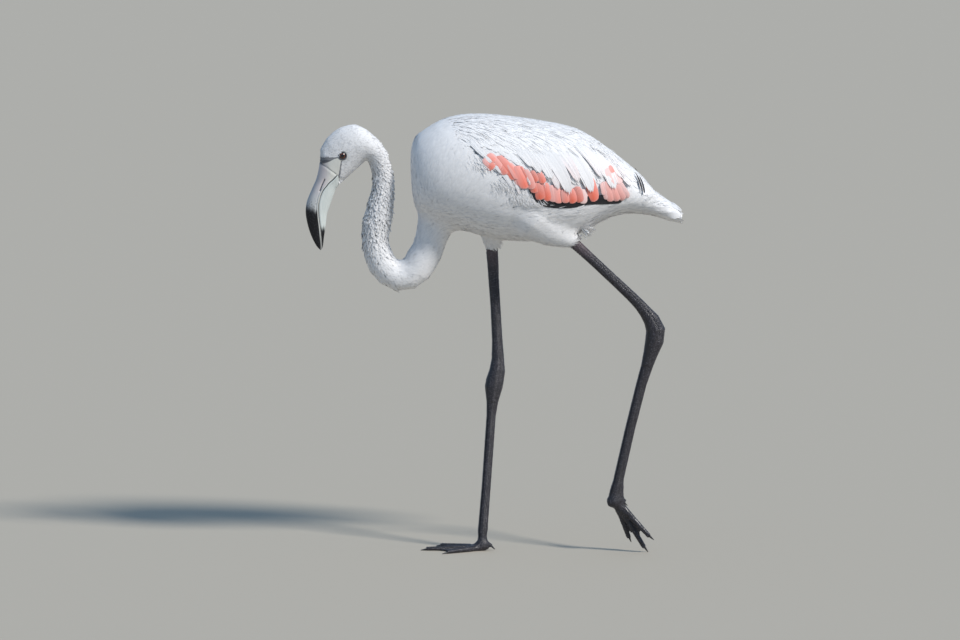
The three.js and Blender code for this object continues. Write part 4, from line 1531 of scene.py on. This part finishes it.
def smooth_rows(table, steps):
    """More rows for a table, each column as one smooth curve through its values."""
    rows = np.array(table, float)
    last = len(rows) - 1
    place = np.linspace(0, last, last * steps + 1)
    at = np.minimum(place.astype(int), last - 1)
    t = (place - at)[:, None]
    a, b, c, d = (rows[np.clip(at + k, 0, last)] for k in (-1, 0, 1, 2))
    return b + 0.5 * t * (c - a + t * (2 * a - 5 * b + 4 * c - d + t * (3 * (b - c) + d - a)))


def tube_through(rings):
    """A closed mesh through rings of equal size, drawn out ring by ring."""
    bm = bmesh.new()
    ordered, corner_of = numbered_circle(bm, len(rings[0]))
    for vert, place in zip(ordered, rings[0]):
        vert.co = place
    first = edges = list(bm.edges)
    for ring in rings[1:]:
        verts, edges = drawn_out(bm, edges)
        for vert in verts:
            vert.co = ring[vert[corner_of]]
    bmesh.ops.holes_fill(bm, edges=first + edges, sides=0)
    bmesh.ops.recalc_face_normals(bm, faces=bm.faces)
    return bm


def half_bill(upper):
    """Rings of the upper or the lower half of the bill, with its rounded lip, groove and nostril."""
    rings = []
    for x1, z1, x2, z2, half, share in smooth_rows(BILL, BILL_STEPS):
        outer, inner = np.array((x1, 0, z1)), np.array((x2, 0, z2))
        axis = (outer - inner) / 2
        reach = np.linalg.norm(axis)
        shift = MOUTH_GAP / reach
        split = 1 - 2 * share + (shift if upper else -shift)
        turn = math.acos(max(-0.98, min(0.98, split)))
        angles = np.linspace(*((-turn, turn) if upper else (turn, 2 * math.pi - turn)), BILL_ARC)
        along, side = np.cos(angles), np.sin(angles)
        arc = (outer + inner) / 2 + along[:, None] * axis + ACROSS * (half * side)[:, None]
        out = unit(along[:, None] * axis / reach ** 2 + ACROSS * (side / half)[:, None])
        from_lip = np.minimum(np.linalg.norm(arc - arc[0], axis=1), np.linalg.norm(arc - arc[-1], axis=1))
        size = min(1.0, half / 9)
        if upper:
            shape = 0.35 * bulge(from_lip, 1.3, 1) - 0.55 * bulge(from_lip, 3.3, 0.8)
            slit = near_line(arc * MM, NOSTRIL) / MM
            shape = shape * size - 1.8 * bulge(slit, 0, 0.75) - 0.45 * bulge(slit, 0, 2.4)
        else:
            shape = 0.55 * size * bulge(from_lip, 2.2, 1.8) - 0.3 * bulge(from_lip, 0, 0.6)
        shape = shape - 1.5 * ramp(into_face(arc, UPPER_END if upper else LOWER_END), -2, 5)
        arc = arc + out * shape[:, None]
        lip = np.linspace(1, -1, BILL_CHORD + 2)[1:-1]
        width = abs(arc[-1][1]) * 0.86
        chord = (arc[0] + arc[-1]) / 2 + ACROSS * (np.sign(arc[-1][1]) * width * lip)[:, None]
        rings.append(np.concatenate([arc, chord]) * MM)
    return rings


def bill_colour(points, upper):
    """Pale horn with a black end, a pale strip along the lip and a dark line where the halves meet."""
    x, y, z = (points / MM).T
    wobble = 1.6 * np.sin(x * 0.9 + y * 0.5) + 1.2 * np.sin(y * 1.1 - x * 0.4) + 0.9 * np.sin(x * 2.3)
    rows = smooth_rows(BILL, 6)
    mouth = [tuple((row[:2] + (row[2:4] - row[:2]) * row[5])) for row in rows]
    lip = near_line(points, mouth) / MM
    if upper:
        colours = horn_base(points / MM)
        colours = mixed(colours, BILL_GREY, 1 - ramp(z, 575, 612))
        # Painted shade: the culmen side of the upper bill, away from the lip, is drawn towards blue-grey.
        culmen = ramp(lip, 9, 15) * (1 - ramp(z, 600, 640))
        colours = mixed(colours, CULMEN_SHADE, culmen * 0.55)
        black = 1 - ramp(z + wobble - ramp(lip, 4, 14) * 6, 556, 570)
        colours = mixed(colours, BLACK, black)
        specks = np.sin(x * 1.5 + 1.9 * np.sin(z * 0.31))
        specks = specks * np.sin(z * 0.7 + 2.3 * np.sin(x * 0.55 + y * 0.4))
        colours = mixed(colours, BLACK * 4, ramp(specks, 0.62, 0.8) * ramp(-z, -587, -574) * 0.8)
        strip = 1 - ramp(lip, 1.6, 2.6)
        colours = mixed(colours, LIP_CREAM, strip * (0.35 + 0.65 * ramp(z, 500, 540)))
        slit = 1 - ramp(near_line(points, NOSTRIL) / MM, 0.4, 1.15)
        colours = mixed(colours, STRIPE_GREY, slit * 0.92)
        colours = mixed(colours, STRIPE_GREY, ramp(z + 0.3 * (x + 285), 638, 643) * 0.9)
    else:
        colours = np.tile(LOWER_GREY, (len(points), 1))
        black = 1 - ramp(z + wobble * 0.7, 529, 540)
        colours = mixed(colours, BLACK, black)
    seam = 1 - ramp(lip, 0.35, 0.95)
    return mixed(colours, STRIPE_GREY * 0.6, seam)


def make_bill():
    horn = horn_look()
    for name, end in (("upper_bill", UPPER_END), ("lower_bill", LOWER_END)):
        upper = name == "upper_bill"
        bm = tube_through(half_bill(upper))
        cut = bmesh.ops.bisect_plane(
            bm, geom=list(bm.verts) + list(bm.edges) + list(bm.faces), clear_outer=True,
            plane_co=Vector(end["point"]) * MM + Vector(end["normal"]) * end["under"] * MM,
            plane_no=end["normal"],
        )["geom_cut"]
        rim = [g for g in cut if isinstance(g, bmesh.types.BMEdge)]
        bmesh.ops.holes_fill(bm, edges=rim, sides=0)
        bmesh.ops.triangulate(bm, faces=[f for f in bm.faces if len(f.verts) > 4])
        bmesh.ops.translate(bm, verts=bm.verts, vec=(CENTRED, 0, 0))
        mesh = finished(bm, name + "_horn")
        paint(mesh, bill_colour(points_of(mesh) - np.array((CENTRED, 0, 0)), upper))
        add_piece(mesh, horn, [name])


def eye_look():
    """Dark pupil, brown iris with fine spokes, and a wet coat."""
    look = Look("wet eye")
    to_centre = (-EYE_CENTRE["x"] * MM, 0, -EYE_CENTRE["z"] * MM)
    flat = look.node("Mapping", {"Vector": look.place(), "Location": to_centre, "Scale": (1, 0, 1)})
    away = look.node("VectorMath", {0: flat.outputs["Vector"]}, operation="LENGTH").outputs["Value"]
    spokes = look.math("MULTIPLY_ADD", look.noise(2200.0, 2.0), 0.05, -0.025)
    rings = look.node("ValToRGB", {"Fac": look.math("MULTIPLY_ADD", away, 1 / (EYE_RADIUS * MM), spokes)})
    stops = rings.color_ramp.elements
    for number, (position, colour) in enumerate(EYE_RINGS):
        stop = stops[number] if number < len(stops) else stops.new(position)
        stop.position, stop.color = position, colour
    look.colour(rings.outputs["Color"])
    return look.finish({
        "Roughness": 0.25, "Specular IOR Level": 0.2, "Coat Weight": 0.8, "Coat Roughness": 0.02,
    })


def make_eyes():
    wet = eye_look()
    for name, side in SIDES.items():
        bm = bmesh.new()
        bmesh.ops.create_uvsphere(bm, u_segments=40, v_segments=28, radius=EYE_RADIUS * MM)
        for vert in bm.verts:
            cornea = max(0.0, side * vert.co.y / (EYE_RADIUS * MM)) ** 14
            vert.co.y += side * 0.5 * MM * cornea
        centre = Vector((EYE_CENTRE["x"], side * EYE_CENTRE["side"], EYE_CENTRE["z"])) * MM
        bmesh.ops.translate(bm, verts=bm.verts, vec=centre)
        add_piece(finished(bm, "eyeball_" + name), wet, ["eye_" + name])


# ---------------------------------------------------------------- legs and feet

LEG_VOXEL = 1.15 * MM
LEG_TOP = (0, 0, -1)  # a leg's skin starts at its upper end
LEG_BIN = 4 * MM  # how long each of the slices is that a leg's middle line is worked out from
SCALE_DEPTH = 0.42 * MM  # how thick the coat of scales is
# A groove down each side of the leg: its angle from the front and its width in radians, and its depth.
GROOVE_ANGLE, GROOVE_WIDTH, GROOVE_DEPTH = 1.95, 0.22, 0.9 * MM
SCUTE_PITCH = 2.9 * MM
TOE_JOINTS = {"left": (199, -15, 84.8), "right": (-18.5, 8, 9)}
# How the lifted leg widens into its toe joint: height, the middle's x, and how many times as wide
# its front and its back are.
SWELLING = [
    (60, 220.3, 1.0, 1.0), (68, 215.8, 1.2, 1.1), (76, 209.3, 1.2, 1.15), (84, 200, 1.15, 1.15),
    (91, 199.4, 1.35, 1.5), (97, 201.4, 1.5, 1.75), (103, 203.1, 1.45, 1.5), (109, 204, 1.25, 1.3),
    (116, 205.3, 1.1, 1.1), (122, 206.4, 1.0, 1.0),
]


def leg_frame(points, along, way):
    """Where each point is round its leg: its angle from the front, which is 0, to the back."""
    slot = (along / LEG_BIN).astype(int)
    count = np.maximum(np.bincount(slot), 1)
    middle = np.stack([np.bincount(slot, points[:, k]) / count for k in range(3)], 1)[slot]
    run = np.stack([np.bincount(slot, way[:, k]) / count for k in range(3)], 1)[slot]
    front = unit(np.stack([run[:, 2], np.zeros(len(run)), -run[:, 0]], 1))
    off = points - middle
    return np.arctan2(np.abs(off[:, 1]), dot(off, front))


def make_leg(name):
    """One leg below its feathered thigh: its skin and the scales on it."""
    nodes = [f"{part}_{name}" for part in ("shin", "ankle", "tarsus", "foot")]
    mesh = fused("leg_" + name, nodes, LEG_VOXEL, 8)
    soften_joint(mesh, name)
    slim = points_of(mesh)
    if name == "left":
        widen_joint(mesh)
    ground = Ground(mesh, LEG_TOP, np.full(len(mesh.vertices), SCALE_DEPTH))
    angle = leg_frame(slim, ground.along, ground.way)
    foot = foot_share(ground.points, name)
    groove = bulge(angle, GROOVE_ANGLE, GROOVE_WIDTH) * (1 - foot)
    points = ground.points - ground.normals * (GROOVE_DEPTH * groove)[:, None]
    move_points(mesh, points)
    ground.settle(points)
    pink = 1 - ramp(ground.along, 0, 45 * MM)
    colours = mixed(np.tile(LEG_DARK, (len(points), 1)), LEG_PINK, pink * 0.6)
    paint(mesh, colours)
    add_piece(mesh, leg_look("leg leather", 0.46), nodes)
    grow_scales(name, ground, angle, foot, colours)


def soften_joint(mesh, name):
    """Blends the knob of the toe joint into the leg above it and the toes below it."""
    joint = np.array(TOE_JOINTS[name]) * MM
    away = np.linalg.norm(points_of(mesh) - joint, axis=1)
    fill_creases(mesh, 26, 1 - ramp(away, 20 * MM, 34 * MM))
    low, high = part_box(f"claw_{name}_hind")
    off_claw = np.linalg.norm(points_of(mesh) - np.array((low + high) / 2), axis=1)
    near = (1 - ramp(away, 15 * MM, 28 * MM)) * ramp(off_claw, 6 * MM, 13 * MM)
    relax(mesh, 70, 0.5 * near)


def widen_joint(mesh):
    """Widens the lifted leg smoothly, front and back, where it runs into the toe joint."""
    points = points_of(mesh)
    height, middle, front, back = np.array(SWELLING, float).T
    z = points[:, 2] / MM
    off = points[:, 0] - np.interp(z, height, middle) * MM
    swell = np.where(off < 0, np.interp(z, height, front), np.interp(z, height, back)) - 1
    points[:, 0] += off * swell
    points[:, 1] += (points[:, 1] - points[swell > 0, 1].mean()) * swell * 0.2
    near = ramp(z, 62, 70) * (1 - ramp(z, 116, 124))
    move_points(mesh, relaxed(points, edges_of(mesh), 10, 0.5 * near))


def foot_share(points, name):
    """1 on the foot, 0 on the leg above it."""
    _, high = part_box("foot_" + name)
    return 1 - ramp(points[:, 2], high.z - 10 * MM, high.z + 14 * MM)


def grow_scales(name, ground, angle, foot, colours):
    """Small round scales all over, and a row of broad scutes down the front."""
    on_foot = ground.at(foot)
    spacing = 2.1 * MM + 0.4 * MM * on_foot
    front = (ground.at(angle) < 0.75) & (on_foot < 0.5)
    roots, where = ground.scatter(np.where(front, 0, spacing), seed=31)
    dice = np.random.default_rng(32)
    count = len(roots)
    scale = leg_look("leg scales", 0.38)
    way = ground.at(ground.way, where)
    base = ground.at(colours, where)
    lit = dice.random(count)[:, None] ** 1.6 * (LEG_LIT - LEG_DARK)
    crop = Crop(
        roots, way, dice.uniform(2.5, 3.1, count) * MM, dice.uniform(2.2, 2.7, count) * MM,
        thick=0.32 * MM, low=-0.5, high=0.6, root_tint=base, tip_tint=base + lit,
    )
    grow("scales_" + name, ground, crop, PLATE, scale)
    grow_scutes(name, ground, angle, foot, scale)


def grow_scutes(name, ground, angle, foot, scale):
    """Broad scutes, one below the other down the middle of the leg's front."""
    top, bottom = ground.along[foot < 0.5].min(), ground.along[foot < 0.5].max()
    roots, ways = [], []
    for reach in np.arange(top + SCUTE_PITCH, bottom, SCUTE_PITCH):
        near = (np.abs(ground.along - reach) < 1.6 * MM) & (angle < 0.5)
        if near.any():
            roots.append(ground.points[near].mean(0))
            ways.append(ground.way[near].mean(0))
    roots, ways = np.array(roots), unit(np.array(ways))
    dice = np.random.default_rng(33)
    count = len(roots)
    tone = dice.uniform(0.8, 1.3, count)[:, None] * LEG_DARK
    crop = Crop(
        roots, ways, 3.9 * MM, 9.2 * MM, thick=0.5 * MM, low=-0.4, high=0.9,
        root_tint=tone, tip_tint=tone + (LEG_LIT - LEG_DARK) * 0.5,
    )
    grow("scutes_" + name, ground, crop, SCUTE, scale)


def make_claws(name):
    horn = claw_look()
    for toe in ("middle", "inner", "outer", "hind"):
        node = f"claw_{name}_{toe}"
        bm = merged([node])
        bmesh.ops.subdivide_edges(bm, edges=bm.edges, cuts=2, use_grid_fill=True)
        axes = {"use_axis_x": True, "use_axis_y": True, "use_axis_z": True}
        for _ in range(4):
            bmesh.ops.smooth_vert(bm, verts=bm.verts, factor=0.5, **axes)
        add_piece(finished(bm, node + "_horn"), horn, [node])


# ---------------------------------------------------------------- all together

make_camera()
make_light()
make_floor()
skin, skin_shares = make_skin()
grow_coat(skin, skin_shares)
grow_wings(skin, skin_shares)
make_bill()
make_eyes()
for leg in SIDES:
    make_leg(leg)
    make_claws(leg)
